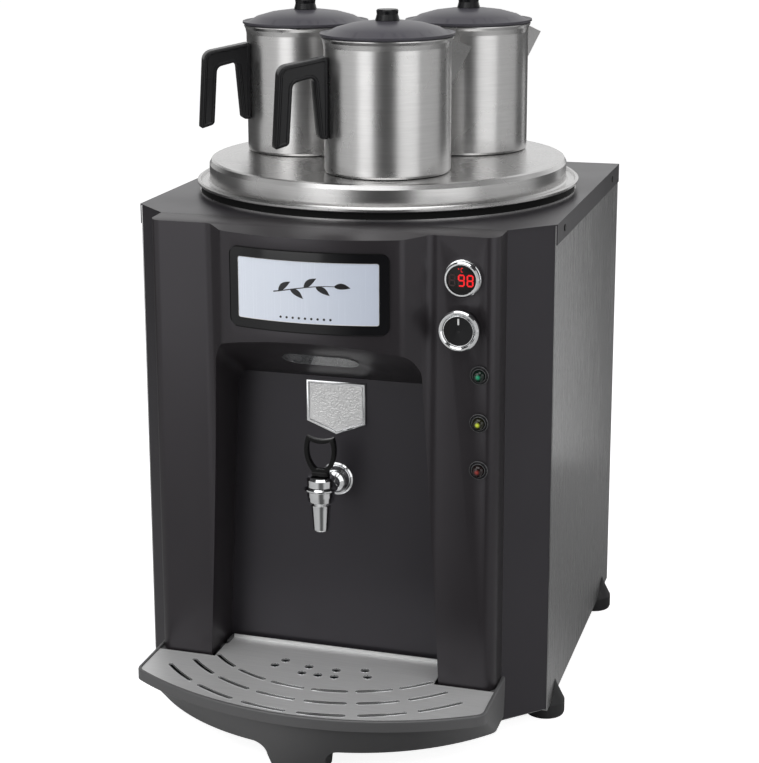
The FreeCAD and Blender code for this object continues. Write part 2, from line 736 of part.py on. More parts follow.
def make_knob_shaft():
    """The round shaft with a flat, from inside the thermostat into the knob."""
    length = 12 + FASCIA_WALL + KNOB_GAP + 12 - 0.3
    start = vec(CONTROL_X, COLUMN_Y + FASCIA_WALL + 12 - 0.3, KNOB_Z)
    shaft = rod(SHAFT_RADIUS, length, start, FORWARD)
    tip = COLUMN_Y - KNOB_GAP - 12
    flat = block(CONTROL_X - 4, CONTROL_X + 4, tip - 1, tip + 11, KNOB_Z + 1.8, KNOB_Z + 5)
    return shaft.cut(flat)


def make_knob_body():
    """The black knob: a tapered skirt with a dished face and a bore for the shaft."""
    r = KNOB_RADIUS
    h = KNOB_HEIGHT
    profile = [(0, 0), (r - 3.2, 0), (r - 2.0, h - 7.0), (r - 2.0, h - 6.0), (r - 4.0, h - 6.0),
               (r - 4.0, h - 1.2), (r - 6.0, h - 1.6), (0, h - 2.0)]
    knob = turned_forward(profile, CONTROL_X, COLUMN_Y - KNOB_GAP, KNOB_Z)
    bore = rod(SHAFT_RADIUS + 0.02, 12.1, vec(CONTROL_X, COLUMN_Y - KNOB_GAP + 0.1, KNOB_Z), FORWARD)
    flat = block(CONTROL_X - 4, CONTROL_X + 4, COLUMN_Y - KNOB_GAP - 13, COLUMN_Y - KNOB_GAP - 1,
                 KNOB_Z + 1.82, KNOB_Z + 5)
    return knob.cut(bore.cut(flat))


def make_knob_ring():
    """The chrome ring round the knob's face."""
    r = KNOB_RADIUS
    h = KNOB_HEIGHT
    profile = [(r - 4.0, h - 6.0), (r - 0.6, h - 6.0), (r, h - 5.0), (r, h - 1.5), (r - 1.2, h),
               (r - 2.6, h), (r - 4.0, h - 1.2)]
    return turned_forward(profile, CONTROL_X, COLUMN_Y - KNOB_GAP, KNOB_Z)


# Recess lamp and badge.

def recess_lamp_block(grow, below, above):
    """A stadium through the sloping ceiling, from below its face to above it."""
    half = RECESS_LAMP_LENGTH / 2 - RECESS_LAMP_WIDTH / 2
    r = RECESS_LAMP_WIDTH / 2 + grow
    thick = above - below
    solid = fuse_all([
        block(-half, half, -r, r, below, above),
        rod(r, thick, vec(-half, 0, below), UP),
        rod(r, thick, vec(half, 0, below), UP),
    ])
    return on_ceiling(solid)


def on_ceiling(solid):
    """Tilt a piece drawn on a flat ceiling and move it to the middle of the bay's ceiling."""
    solid = solid.copy()
    solid.rotate(vec(0, 0, 0), ACROSS, -math.degrees(math.atan(CEILING_RISE)))
    y = (WALL_Y + APEX_Y) / 2 - 2.0
    solid.translate(vec(0, y, ceiling_at(y)))
    return solid


def make_recess_lamp():
    """The clear oval lens with a flange above the ceiling."""
    lens = recess_lamp_block(0, -0.6, RECESS_WALL + 0.4)
    flange = recess_lamp_block(3.0, RECESS_WALL, RECESS_WALL + 1.5)
    return lens.fuse(flange).removeSplitter()


def make_recess_leds():
    """Three round light modules on the back of the lens."""
    leds = []
    top = RECESS_WALL + 1.5
    for i in (-1, 0, 1):
        leds.append(on_ceiling(rod(RECESS_LED_RADIUS, 5, vec(i * (2 * RECESS_LED_RADIUS + 1), 0, top), UP)))
    return Part.makeCompound(leds)


def make_badge_plate():
    """A bare plate with two square upper corners and a pointed foot, with a raised border."""
    top = RECESS_TOP - BADGE_DROP
    w = BADGE_WIDTH / 2
    points = [(-w, top), (-w, top - BADGE_SIDE), (0, top - BADGE_HEIGHT), (w, top - BADGE_SIDE), (w, top)]
    plate = upright(points, WALL_Y - BADGE_THICK, WALL_Y)
    border = 2.4
    inner = [(-w + border, top - border), (-w + border, top - BADGE_SIDE + 0.3 * border),
             (0, top - BADGE_HEIGHT + 1.1 * border), (w - border, top - BADGE_SIDE + 0.3 * border),
             (w - border, top - border)]
    return plate.cut(upright(inner, WALL_Y - BADGE_THICK - 1, WALL_Y - BADGE_THICK + 0.9))


# Tap.

BOWL_TOP = TAP_Z + 6.0
BONNET_TOP = BOWL_TOP + BONNET_HEIGHT
SPOUT_TIP = TAP_Z - SPOUT_DROP
PIN_Z = BONNET_TOP - 4.0
NECK_RADIUS = 5.6
CHAMBER_RADIUS = BOWL_RADIUS - 2.6


def make_tap_flange():
    """The domed chrome flange against the bay's wall."""
    r = TAP_FLANGE_RADIUS
    hole = SHANK_RADIUS + 0.05
    profile = [(hole, 0), (r, 0), (r, 1.6), (r - 1.6, 2.6), (r - 2.6, 2.6), (r - 3.4, 5.6),
               (r - 5.6, FLANGE_DEPTH), (hole, FLANGE_DEPTH)]
    return turned_forward(profile, 0, WALL_Y, TAP_Z)


def make_tap_body():
    """The cast body: shank through the wall, bowl, and tapered spout with its bore."""
    inside = TANK_RADIUS + INSULATION + AIR_GAP
    shank_back = LID_Y - TANK_RADIUS - FIT
    shank = rod(SHANK_RADIUS, shank_back - WALL_Y + FLANGE_DEPTH, vec(0, shank_back, TAP_Z), FORWARD)
    neck_length = TAP_REACH - FLANGE_DEPTH
    collar = SHANK_RADIUS + 2.2
    neck = turned_forward([(0, 0), (collar, 0), (collar, 3), (NECK_RADIUS + 1.4, 5.5),
                           (NECK_RADIUS, 12), (NECK_RADIUS, neck_length), (0, neck_length)],
                          0, WALL_Y - FLANGE_DEPTH, TAP_Z)
    bowl = turned([(0, SPOUT_TIP), (SPOUT_RADIUS - 0.5, SPOUT_TIP), (SPOUT_RADIUS, SPOUT_TIP + 1),
                   (SPOUT_RADIUS + 1.6, TAP_Z - 13), (BOWL_RADIUS - 3.5, TAP_Z - 9),
                   (BOWL_RADIUS - 0.8, TAP_Z - 5), (BOWL_RADIUS, TAP_Z), (BOWL_RADIUS, BOWL_TOP),
                   (0, BOWL_TOP)], (0, TAP_Y))
    body = shank.fuse([neck, bowl]).removeSplitter()
    chamber = rod(CHAMBER_RADIUS, 20, vec(0, TAP_Y, TAP_Z - 3.5), UP)
    bore = rod(BORE_RADIUS, SPOUT_DROP + 2, vec(0, TAP_Y, SPOUT_TIP - 1), UP)
    way_in = rod(BORE_RADIUS, inside, vec(0, shank_back + 1, TAP_Z + 1), FORWARD)
    way_in = way_in.common(block(-9, 9, TAP_Y, shank_back + 1, TAP_Z - 9, TAP_Z + 9))
    return body.cut(chamber.fuse([bore, way_in]))


def make_tap_bonnet():
    """The chrome collar nut over the bowl, with a slot through which the lever stands."""
    low = BOWL_TOP
    inner = CHAMBER_RADIUS + 0.6
    outer = BOWL_RADIUS + 0.4
    ring = BONNET_RING_RADIUS
    profile = [(inner, low), (ring - 0.8, low), (ring, low + 0.8), (ring, low + 2.2),
               (ring - 1.6, low + 3.6), (outer, low + 4.2), (outer, BONNET_TOP - 2.0),
               (outer - 1.8, BONNET_TOP), (0, BONNET_TOP), (0, BONNET_TOP - 1.5), (inner, BONNET_TOP - 1.5)]
    bonnet = turned(profile, (0, TAP_Y))
    back = LEVER_DEPTH / 2 + 0.6
    reach = BONNET_TOP - PIN_Z
    swing = math.radians(LEVER_SWING_ANGLE)
    front = (LEVER_DEPTH / 2 + reach * math.sin(swing)) / math.cos(swing) + 0.6
    half = LEVER_WIDTH / 2 + 0.4
    slot = block(-half, half, TAP_Y - front, TAP_Y + back, BONNET_TOP - 3, BONNET_TOP + 1)
    pin_hole = rod(PIN_RADIUS + 0.02, 60, vec(-30, TAP_Y, PIN_Z), ACROSS)
    return bonnet.cut(slot.fuse(pin_hole))


def make_lever_pin():
    """The steel pin across the bonnet on which the lever turns."""
    half = BOWL_RADIUS - 0.3
    return rod(PIN_RADIUS, 2 * half, vec(-half, TAP_Y, PIN_Z), ACROSS)


def make_tap_lever():
    """The black lever: a forked foot on the pin and an open loop with a dipped top bar."""
    half = LEVER_WIDTH / 2
    depth = LEVER_DEPTH / 2
    foot = rod(depth, LEVER_WIDTH, vec(-half, TAP_Y, PIN_Z), ACROSS)
    stem = block(-half, half, TAP_Y - depth, TAP_Y + depth, PIN_Z, PIN_Z + LEVER_STEM)
    stem = foot.fuse(stem).removeSplitter()
    lever = stem.fuse(lever_loop(PIN_Z + LEVER_STEM - 1)).removeSplitter()
    hole = rod(PIN_RADIUS + 0.05, LEVER_WIDTH + 4, vec(-half - 2, TAP_Y, PIN_Z), ACROSS)
    fork = block(-STEM_RADIUS - 0.4, STEM_RADIUS + 0.4, TAP_Y - 2 * depth, TAP_Y + 2 * depth,
                 PIN_Z - 2 * depth, PIN_Z + PIN_RADIUS + 0.4)
    return lever.cut(hole.fuse(fork))


def lever_loop(low):
    """The open loop: a rounded bar between an outer and an inner outline."""
    w = LOOP_WIDTH / 2
    h = LOOP_HEIGHT
    bar = LOOP_BAR
    foot = LEVER_WIDTH / 2 - 1
    outer = loop_outline([(-foot, 0), (-w * 0.85, h * 0.25), (-w, h * 0.55), (-w * 0.86, h * 0.94)],
                         h * 0.86, low)
    inner = loop_outline([(-foot + bar * 0.85, bar), (-w * 0.85 + bar, h * 0.29), (-w + bar, h * 0.55),
                          (-w * 0.86 + bar * 0.85, h * 0.94 - bar * 1.15)], h * 0.86 - bar, low)
    return outer.cut(inner)


def loop_outline(left, dip, low):
    """A plate from the points of its left half, its right half and a dipped top."""
    y = TAP_Y - LOOP_DEPTH / 2
    edges = []
    for side in (1, -1):
        curve = Part.BSplineCurve()
        curve.interpolate([vec(side * x, y, low + z) for x, z in left])
        edges.append(curve.toShape())
    x0, z0 = left[0]
    x1, z1 = left[-1]
    edges.append(Part.Arc(vec(x1, y, low + z1), vec(0, y, low + dip), vec(-x1, y, low + z1)).toShape())
    edges.append(Part.LineSegment(vec(x0, y, low + z0), vec(-x0, y, low + z0)).toShape())
    wire = Part.Wire(Part.__sortEdges__(edges))
    return Part.Face(wire).extrude(vec(0, LOOP_DEPTH, 0))


def make_seat_cup():
    """The silicone seat: a plug on the spout's bore, a bell above it and a stem to the lever."""
    low = TAP_Z - 3.5
    top = PIN_Z - PIN_RADIUS - 0.4 - SEAT_TRAVEL
    profile = [(0, low + 0.1), (BORE_RADIUS + 2.4, low + 0.1), (BORE_RADIUS + 2.4, low + 3.4),
               (STEM_RADIUS + 1, low + 4.4), (STEM_RADIUS, low + 5.4), (STEM_RADIUS, top), (0, top)]
    return turned(profile, (0, TAP_Y))


def make_tap_lock_nut():
    """The hexagon nut that clamps the shank behind the bay's wall."""
    y = WALL_Y + SHEET
    nut = hexagon(SHANK_RADIUS + 5, 5.0)
    nut = nut.cut(rod(SHANK_RADIUS + 0.05, 7, vec(0, 0, -1), UP))
    nut.rotate(vec(0, 0, 0), ACROSS, -90)
    nut.translate(vec(0, y, TAP_Z))
    return nut


def hexagon(radius, height):
    """A hexagonal prism on the origin."""
    angles = [math.radians(60 * i) for i in range(6)]
    points = [(radius * math.cos(a), radius * math.sin(a)) for a in angles]
    return prism(points, 0, height)


# Boiler.

def make_water_tank():
    """The stainless tank: flat mouth flange, straight wall and a shallow dished floor."""
    r = TANK_RADIUS
    t = SHEET
    floor = TANK_FLOOR
    profile = [(r - t, FLANGE_TOP), (r - t, floor + 6), (r - 10, floor + t), (0, floor + t), (0, floor),
               (r - 9, floor), (r, floor + 6), (r, CASE_HEIGHT), (PLATFORM_RADIUS + 10, CASE_HEIGHT),
               (PLATFORM_RADIUS + 10, FLANGE_TOP)]
    tank = turned(profile, (0, LID_Y))
    tank = tank.cut(rod(SHANK_RADIUS - 2, 20, vec(0, LID_Y - r + 10, TAP_Z), FORWARD))
    tank = tank.cut(rod(HEATER_THREAD + FIT, 10, vec(0, HEATER_Y, floor - 5), UP))
    for x in probe_places():
        tank = tank.cut(rod(PROBE_RADIUS + FIT, 10, vec(x, HEATER_Y, floor - 5), UP))
    return tank


HEATER_THREAD = 19.0
HEATER_Y = LID_Y + 60.0
ELEMENT_RADIUS = 4.2
PROBE_RADIUS = 5.0


def probe_places():
    """The two sensor pockets, left and right of the heater plug."""
    return [-HEATER_THREAD - 32, HEATER_THREAD + 32]


def make_insulation_jacket():
    """The blanket round the tank, with a window for the tap shank."""
    inner = TANK_RADIUS + FIT
    outer = TANK_RADIUS + INSULATION
    low = TANK_FLOOR + 8
    high = CASE_HEIGHT - SHEET - 4
    jacket = turned([(inner, low), (outer, low), (outer, high), (inner, high)], (0, LID_Y))
    return jacket.cut(rod(SHANK_RADIUS + 3, 30, vec(0, LID_Y - inner + 10, TAP_Z), FORWARD))


def make_tank_legs():
    """Four folded brackets that carry the tank on the base plate."""
    ring = TANK_RADIUS - LEG_WIDTH
    low = 2 * SHEET
    legs = []
    for angle in (45, 135, 225, 315):
        upright_plate = block(ring, ring + LEG_THICK, -LEG_WIDTH / 2, LEG_WIDTH / 2, low, TANK_FLOOR)
        pad = block(ring - LEG_WIDTH, ring, -LEG_WIDTH / 2, LEG_WIDTH / 2, low, low + LEG_THICK)
        seat = block(ring - LEG_WIDTH, ring, -LEG_WIDTH / 2, LEG_WIDTH / 2,
                     TANK_FLOOR - LEG_THICK, TANK_FLOOR)
        leg = fuse_all([upright_plate, pad, seat])
        leg.rotate(vec(0, 0, 0), UP, angle)
        leg.translate(vec(0, LID_Y, 0))
        legs.append(leg)
    return Part.makeCompound(legs)


def make_heater_plug():
    """The brass plug that carries the element through the tank's floor."""
    flange = hexagon(HEATER_THREAD + 7, 8)
    flange.translate(vec(0, HEATER_Y, TANK_FLOOR - 10))
    neck = rod(HEATER_THREAD, 14, vec(0, HEATER_Y, TANK_FLOOR - 2), UP)
    plug = flange.fuse(neck).removeSplitter()
    for x in element_legs():
        plug = plug.cut(rod(ELEMENT_RADIUS + 0.02, 30, vec(x, HEATER_Y, TANK_FLOOR - 12), UP))
    return plug


def element_legs():
    """Where the two ends of the element's hairpin pass the plug."""
    return [-ELEMENT_SPREAD / 2, ELEMENT_SPREAD / 2]


def make_heating_element():
    """A sheathed hairpin: up from the plug, forward over the floor, round and back."""
    low = TANK_FLOOR - ELEMENT_TAIL
    level = TANK_FLOOR + ELEMENT_RISE
    bend = ELEMENT_BEND
    left, right = element_legs()
    front = HEATER_Y - ELEMENT_REACH
    path = [
        Part.LineSegment(vec(left, HEATER_Y, low), vec(left, HEATER_Y, level - bend)),
        Part.Arc(vec(left, HEATER_Y, level - bend),
                 vec(left, HEATER_Y - bend * (1 - math.sqrt(0.5)), level - bend * (1 - math.sqrt(0.5))),
                 vec(left, HEATER_Y - bend, level)),
        Part.LineSegment(vec(left, HEATER_Y - bend, level), vec(left, front, level)),
        Part.Arc(vec(left, front, level), vec((left + right) / 2, front - (right - left) / 2, level),
                 vec(right, front, level)),
        Part.LineSegment(vec(right, front, level), vec(right, HEATER_Y - bend, level)),
        Part.Arc(vec(right, HEATER_Y - bend, level),
                 vec(right, HEATER_Y - bend * (1 - math.sqrt(0.5)), level - bend * (1 - math.sqrt(0.5))),
                 vec(right, HEATER_Y, level - bend)),
        Part.LineSegment(vec(right, HEATER_Y, level - bend), vec(right, HEATER_Y, low)),
    ]
    spine = Part.Wire([piece.toShape() for piece in path])
    section = Part.Wire(Part.makeCircle(ELEMENT_RADIUS, vec(left, HEATER_Y, low), UP))
    return spine.makePipeShell([section], True, False)


def make_sensor_pockets():
    """Two closed tubes through the tank's floor for the thermostat and thermometer bulbs."""
    pockets = []
    for x in probe_places():
        head = hexagon(PROBE_RADIUS + 4, 6)
        head.translate(vec(x, HEATER_Y, TANK_FLOOR - 6))
        tube = rod(PROBE_RADIUS, POCKET_LENGTH + 1, vec(x, HEATER_Y, TANK_FLOOR - 1), UP)
        pockets.append(head.fuse(tube).removeSplitter())
    return Part.makeCompound(pockets)


def make_overheat_cutout():
    """The button-shaped safety thermostat clipped to the tank's floor."""
    x = TANK_RADIUS * 0.35
    y = LID_Y - 40
    profile = [(0, -12), (8, -12), (8, -4), (12, -4), (12, 0), (0, 0)]
    cutout = turned(profile, (x, y))
    cutout.translate(vec(0, 0, TANK_FLOOR))
    return cutout


def make_boiler_seal():
    """The dark ring of square section between the tank's mouth and the lid."""
    r = PLATFORM_RADIUS + FIT + 0.2
    profile = [(r, FLANGE_TOP), (r + SEAL_WIDTH, FLANGE_TOP), (r + SEAL_WIDTH, BRIM_Z), (r, BRIM_Z)]
    return turned(profile, (0, LID_Y))


def make_boiler_lid():
    """The spun lid: platform, rolled edge, wall, gutter and beaded brim, with steam holes."""
    t = LID_THICK
    rp = PLATFORM_RADIUS
    rb = BRIM_RADIUS
    e = LID_EDGE_ROUND
    skirt = FLANGE_TOP + 1.0
    zp = PLATFORM_Z
    zg = BRIM_Z + t
    profile = [(0, zp), (rp - e, zp), (rp - e * 0.4, zp - e * 0.16), (rp, zp - e), (rp, zg + 1.5),
               (rp + 1.5, zg), (rb - 4.5, zg), (rb - 3.2, zg + 2.2), (rb - 1.6, zg + 2.6), (rb, zg + 1.4),
               (rb, zg - 0.6), (rb - 1.0, zg - 1.6), (rb - 2.0, zg - 0.6), (rb - 2.4, BRIM_Z),
               (rp, BRIM_Z), (rp, skirt), (rp - t, skirt), (rp - t, zp - e - 0.4),
               (rp - t - e * 0.4, zp - e * 0.2 - t), (rp - e - t * 0.5, zp - t), (0, zp - t)]
    lid = turned(profile, (0, LID_Y))
    for place in pot_places():
        x, y = place[:2]
        collar = turned([(STEAM_HOLE_RADIUS - t, zp - 7), (STEAM_HOLE_RADIUS, zp - 7),
                         (STEAM_HOLE_RADIUS, zp - t / 2), (STEAM_HOLE_RADIUS - t, zp - t / 2)], (x, y))
        lid = lid.fuse(collar)
        lid = lid.cut(rod(STEAM_HOLE_RADIUS - t, 20, vec(x, y, zp - 15), UP))
    return lid.removeSplitter()


# Pots.

def pot_places():
    """Centre of each pot and the way its spout points, in degrees."""
    places = []
    for angle, turn in ((-90.0, 33.0), (150.0, 33.0), (30.0, 41.0)):
        a = math.radians(angle + POT_TURN_ANGLE)
        places.append((POT_RING * math.cos(a), LID_Y + POT_RING * math.sin(a), turn))
    return places


def to_pot(shape, place):
    """Turn and move a piece drawn with its spout along +X to its place on the lid."""
    shape = shape.copy()
    shape.rotate(vec(0, 0, 0), UP, place[2])
    shape.translate(vec(place[0], place[1], PLATFORM_Z))
    return shape


def make_pot_body():
    """The spun pot with a flared and rolled rim, and its folded spout."""
    r = POT_RADIUS
    t = POT_WALL
    h = POT_HEIGHT
    f = POT_FLARE
    profile = [(0, 0), (r - 3, 0), (r - 0.9, 0.9), (r, 3), (r, h - 9), (r + f * 0.4, h - 4),
               (r + f, h - 1.2), (r + f, h - 0.2), (r + f - 1.2, h), (r + f * 0.4 - t, h - 3.4),
               (r - t, h - 8.6), (r - t, 3.2), (r - 3.4, t), (0, t)]
    pot = turned(profile)
    for y, z in ((0, -14), (-9, -20), (9, -20), (0, -26), (0, -38)):
        pot = pot.cut(rod(3.0, 8, vec(r - 5, y, h - SPOUT_TOP_DROP + z), ACROSS))
    return pot.fuse(pot_spout()).removeSplitter()


def pot_spout():
    """The spout: two flat walls that meet in a keel, open at the top."""
    outer = spout_block(0)
    inner = spout_block(POT_WALL)
    return outer.cut(inner)


def spout_block(inset):
    """A pyramid on the pot's wall: wide at the top, a point at its foot."""
    r = POT_RADIUS - POT_WALL * 0.5
    top = POT_HEIGHT - SPOUT_TOP_DROP - 5.0
    tip_z = POT_HEIGHT - SPOUT_TIP_DROP
    low = POT_HEIGHT - SPOUT_TOP_DROP - SPOUT_LENGTH + 2 * inset
    half = SPOUT_HALF - inset
    wall_x = math.sqrt(r * r - SPOUT_HALF ** 2) - (1 if inset else 0)
    tip_x = POT_RADIUS + SPOUT_REACH - 1.6 * inset
    lift = 3.0 if inset else 0.0
    left = vec(wall_x, -half, top + 5.0 + lift)
    right = vec(wall_x, half, top + 5.0 + lift)
    tip = vec(tip_x, 0, tip_z + lift)
    foot = vec(r - (0.5 if inset else 0), 0, low)
    faces = [(left, right, tip), (left, tip, foot), (right, foot, tip), (left, foot, right)]
    shell = Part.makeShell([Part.Face(Part.makePolygon([a, b, c, a])) for a, b, c in faces])
    solid = Part.makeSolid(shell)
    if solid.Volume < 0:
        solid.reverse()
    return solid.cut(rod(r, POT_HEIGHT * 2, vec(0, 0, -10), UP))


def make_pot_handle():
    """The moulded handle: mounting leg on the wall, sloping bar and a longer outer leg."""
    r = POT_RADIUS
    out = r + HANDLE_REACH
    top = HANDLE_TOP
    low = HANDLE_BOTTOM
    leg = HANDLE_LEG
    mount = HANDLE_MOUNT
    bar = 20.0
    fall = 9.0
    half = HANDLE_THICK / 2
    points = [(r - 4, top), (out - 4, top - fall), (out + 1, low), (out - leg + 1, low + 4),
              (out - leg - 3, top - fall - bar + 4), (r + mount + 5, top - bar),
              (r + mount, HANDLE_MOUNT_BOTTOM), (r - 4, HANDLE_MOUNT_BOTTOM)]
    wire = Part.makePolygon([vec(-u, -half, v) for u, v in points + points[:1]])
    handle = Part.Face(wire).extrude(vec(0, HANDLE_THICK, 0))
    handle = round_across(handle, (out - 4, top - fall), 11.0)
    handle = round_across(handle, (out - leg - 3, top - fall - bar + 4), 7.0)
    handle = round_across(handle, (r + mount + 5, top - bar), 5.0)
    handle = round_across(handle, (out - leg + 1, low + 4), 5.0)
    handle = round_across(handle, (r + mount, HANDLE_MOUNT_BOTTOM), 4.0)
    handle = handle.cut(rod(r + 0.1, POT_HEIGHT * 2, vec(0, 0, -10), UP))
    return handle


def round_across(solid, spot, radius):
    """Round the edge that crosses the handle's thickness at a (reach, height) spot."""
    edges = []
    for edge in solid.Edges:
        box = edge.BoundBox
        if box.YLength > HANDLE_THICK * 0.9 and math.hypot(-box.XMin - spot[0], box.ZMin - spot[1]) < 0.5:
            edges.append(edge)
    return solid.makeFillet(radius, edges)


def make_pot_lid():
    """The domed lid: turned-up edge, crown and a ring that drops into the pot."""
    r = POT_LID_RADIUS
    t = POT_LID_THICK
    z = POT_HEIGHT
    d = POT_LID_DOME
    flat = r - 5
    ring = POT_RADIUS - POT_WALL - 2.0
    profile = [(0, z + d + t), (r * 0.28, z + d * 0.95 + t), (r * 0.55, z + d * 0.78 + t),
               (r * 0.78, z + d * 0.48 + t),
               (flat, z + t + 1.2), (flat + 2, z + t + 0.6), (r, z + t + 2.2), (r, z + 1.6), (flat + 2.4, z),
               (ring, z), (ring, z - 7), (ring - t, z - 7), (ring - t, z + 1.8), (r * 0.77, z + d * 0.48),
               (r * 0.55, z + d * 0.78), (r * 0.28, z + d * 0.95), (0, z + d)]
    return turned(profile)


def make_lid_knob():
    """The black waisted knob on the lid's crown."""
    z = POT_HEIGHT + POT_LID_DOME + POT_LID_THICK
    r = LID_KNOB_RADIUS
    h = LID_KNOB_HEIGHT
    profile = [(0, z), (r, z), (r - 1.6, z + h * 0.55), (r - 1.2, z + h - 1.2), (r - 2.2, z + h), (0, z + h)]
    return turned(profile)


# Drip tray.

def tray_wire(radius, front_y, half, corner, z, tongue=True):
    """The tray's outline at a height: an arc in front, straight sides and the rear tongue."""
    centre_y = front_y + radius
    corner_y = centre_y - math.sqrt((radius - corner) ** 2 - (half - corner) ** 2)
    a = math.atan2(half - corner, centre_y - corner_y)
    ax = radius * math.sin(a)
    ay = centre_y - radius * math.cos(a)
    m = a + (math.pi / 2 - a) / 2
    mx = half - corner + corner * math.sin(m)
    my = corner_y - corner * math.cos(m)
    back = TRAY_BACK_Y
    edges = [
        Part.Arc(vec(-ax, ay, z), vec(0, front_y, z), vec(ax, ay, z)).toShape(),
        Part.Arc(vec(ax, ay, z), vec(mx, my, z), vec(half, corner_y, z)).toShape(),
        Part.LineSegment(vec(half, corner_y, z), vec(half, back, z)).toShape(),
    ]
    corners = [(half, back)]
    if tongue:
        corners += [(TONGUE_HALF, back), (TONGUE_HALF, TONGUE_BACK_Y), (-TONGUE_HALF, TONGUE_BACK_Y),
                    (-TONGUE_HALF, back)]
    corners.append((-half, back))
    for start, end in zip(corners, corners[1:]):
        edges.append(Part.LineSegment(vec(start[0], start[1], z), vec(end[0], end[1], z)).toShape())
    edges.append(Part.LineSegment(vec(-half, back, z), vec(-half, corner_y, z)).toShape())
    edges.append(Part.Arc(vec(-half, corner_y, z), vec(-mx, my, z), vec(-ax, ay, z)).toShape())
    return Part.Wire(edges)


def outer_edges_at(solid, z):
    """The edges of a solid's front and sides that lie at one height."""
    edges = []
    for edge in solid.Edges:
        box = edge.BoundBox
        if box.ZLength < 0.01 and abs(box.ZMax - z) < 0.01 and box.YMin < TRAY_BACK_Y - 1:
            edges.append(edge)
    return edges


def shrunk(wire, amount, z):
    """The face inside a wire, drawn in by an amount and set at a height."""
    face = Part.Face(wire)
    if amount:
        face = face.makeOffset2D(-amount)
    face.translate(vec(0, 0, z - face.BoundBox.ZMin))
    return face


def tray_hull(inset, floor):
    """The raked hull of the tray between its keel outline and the outline under the band."""
    keel = tray_wire(TRAY_KEEL_RADIUS - inset, TRAY_FRONT_Y + TRAY_RAKE + inset, TRAY_HALF - inset - 1.0,
                     TRAY_CORNER, floor, False)
    brim = tray_wire(TRAY_FRONT_RADIUS - TRAY_LIP - inset, TRAY_FRONT_Y + TRAY_LIP + inset,
                     TRAY_HALF - inset, TRAY_CORNER, TRAY_TOP - TRAY_BAND, False)
    return Part.makeLoft([keel, brim], True, True)


def make_drip_tray():
    """The moulded tray: raked hull, overhanging band, grid ledge, rear tongue and centre foot."""
    band_low = TRAY_TOP - TRAY_BAND
    rim = tray_wire(TRAY_FRONT_RADIUS, TRAY_FRONT_Y, TRAY_HALF, TRAY_CORNER, band_low)
    band = shrunk(rim, 0, band_low).extrude(vec(0, 0, TRAY_BAND))
    band = band.makeFillet(TRAY_EDGE_ROUND, outer_edges_at(band, TRAY_TOP))
    hull = tray_hull(0, TRAY_BOTTOM)
    tongue = block(-TONGUE_HALF, TONGUE_HALF, TRAY_BACK_Y - 20, TONGUE_BACK_Y, TRAY_BOTTOM, band_low)
    solid = band.fuse([hull, tongue])
    solid = solid.fuse(tray_foot())
    seat = shrunk(rim, GRID_INSET, LEDGE_Z).extrude(vec(0, 0, TRAY_BAND))
    solid = solid.cut(seat)
    well = shrunk(rim, GRID_INSET + GRID_LEDGE, band_low - 1).extrude(vec(0, 0, TRAY_BAND + 2))
    solid = solid.cut(well)
    basin = tray_hull(TRAY_WALL + 3, TRAY_BOTTOM + TRAY_WALL)
    solid = solid.cut(basin)
    back = block(-TONGUE_HALF + 5, TONGUE_HALF - 5, TRAY_BACK_Y - 25, TONGUE_BACK_Y - TRAY_WALL,
                 TRAY_BOTTOM + TRAY_WALL, band_low + 1)
    solid = solid.cut(back)
    for side in (-1, 1):
        inner = notch_inner() - GRID_GAP
        outer = COLUMN_OUT_X + GRID_GAP / 2
        x0, x1 = sorted((side * inner, side * outer))
        floor = FASCIA_BOTTOM - TRAY_RUNNING_GAP
        solid = solid.cut(block(x0, x1, COLUMN_Y - GRID_GAP, FRONT_Y, floor, TRAY_TOP + 5))
    return solid.removeSplitter()


def tray_foot():
    """The centre foot: a curved pad that carries the rake of the hull to the floor."""
    half = TRAY_FOOT_HALF
    low = -FOOT_DROP
    high = TRAY_BOTTOM + 4
    flare = TRAY_FOOT_FLARE
    toe = half - TRAY_FOOT_TAPER
    k = flare * (1 - math.sqrt(0.5))
    y0 = TRAY_FRONT_Y - 20
    edges = [
        Part.LineSegment(vec(-toe, y0, low), vec(-half, y0, TRAY_BOTTOM - flare)).toShape(),
        Part.Arc(vec(-half, y0, TRAY_BOTTOM - flare), vec(-half - k, y0, TRAY_BOTTOM - k),
                 vec(-half - flare, y0, TRAY_BOTTOM)).toShape(),
        Part.LineSegment(vec(-half - flare, y0, TRAY_BOTTOM), vec(-half - flare, y0, high)).toShape(),
        Part.LineSegment(vec(-half - flare, y0, high), vec(half + flare, y0, high)).toShape(),
        Part.LineSegment(vec(half + flare, y0, high), vec(half + flare, y0, TRAY_BOTTOM)).toShape(),
        Part.Arc(vec(half + flare, y0, TRAY_BOTTOM), vec(half + k, y0, TRAY_BOTTOM - k),
                 vec(half, y0, TRAY_BOTTOM - flare)).toShape(),
        Part.LineSegment(vec(half, y0, TRAY_BOTTOM - flare), vec(toe, y0, low)).toShape(),
        Part.LineSegment(vec(toe, y0, low), vec(-toe, y0, low)).toShape(),
    ]
    silhouette = Part.Face(Part.Wire(edges)).extrude(vec(0, 120, 0))
    front = TRAY_FRONT_Y + TRAY_RAKE
    drop = (TRAY_RAKE - TRAY_LIP) * (TRAY_BOTTOM + FOOT_DROP) / (TRAY_TOP - TRAY_BAND - TRAY_BOTTOM)
    top_ring = foot_section(front - 1.6, high)
    low_ring = foot_section(front + drop, low)
    return silhouette.common(Part.makeLoft([low_ring, top_ring], True, True))


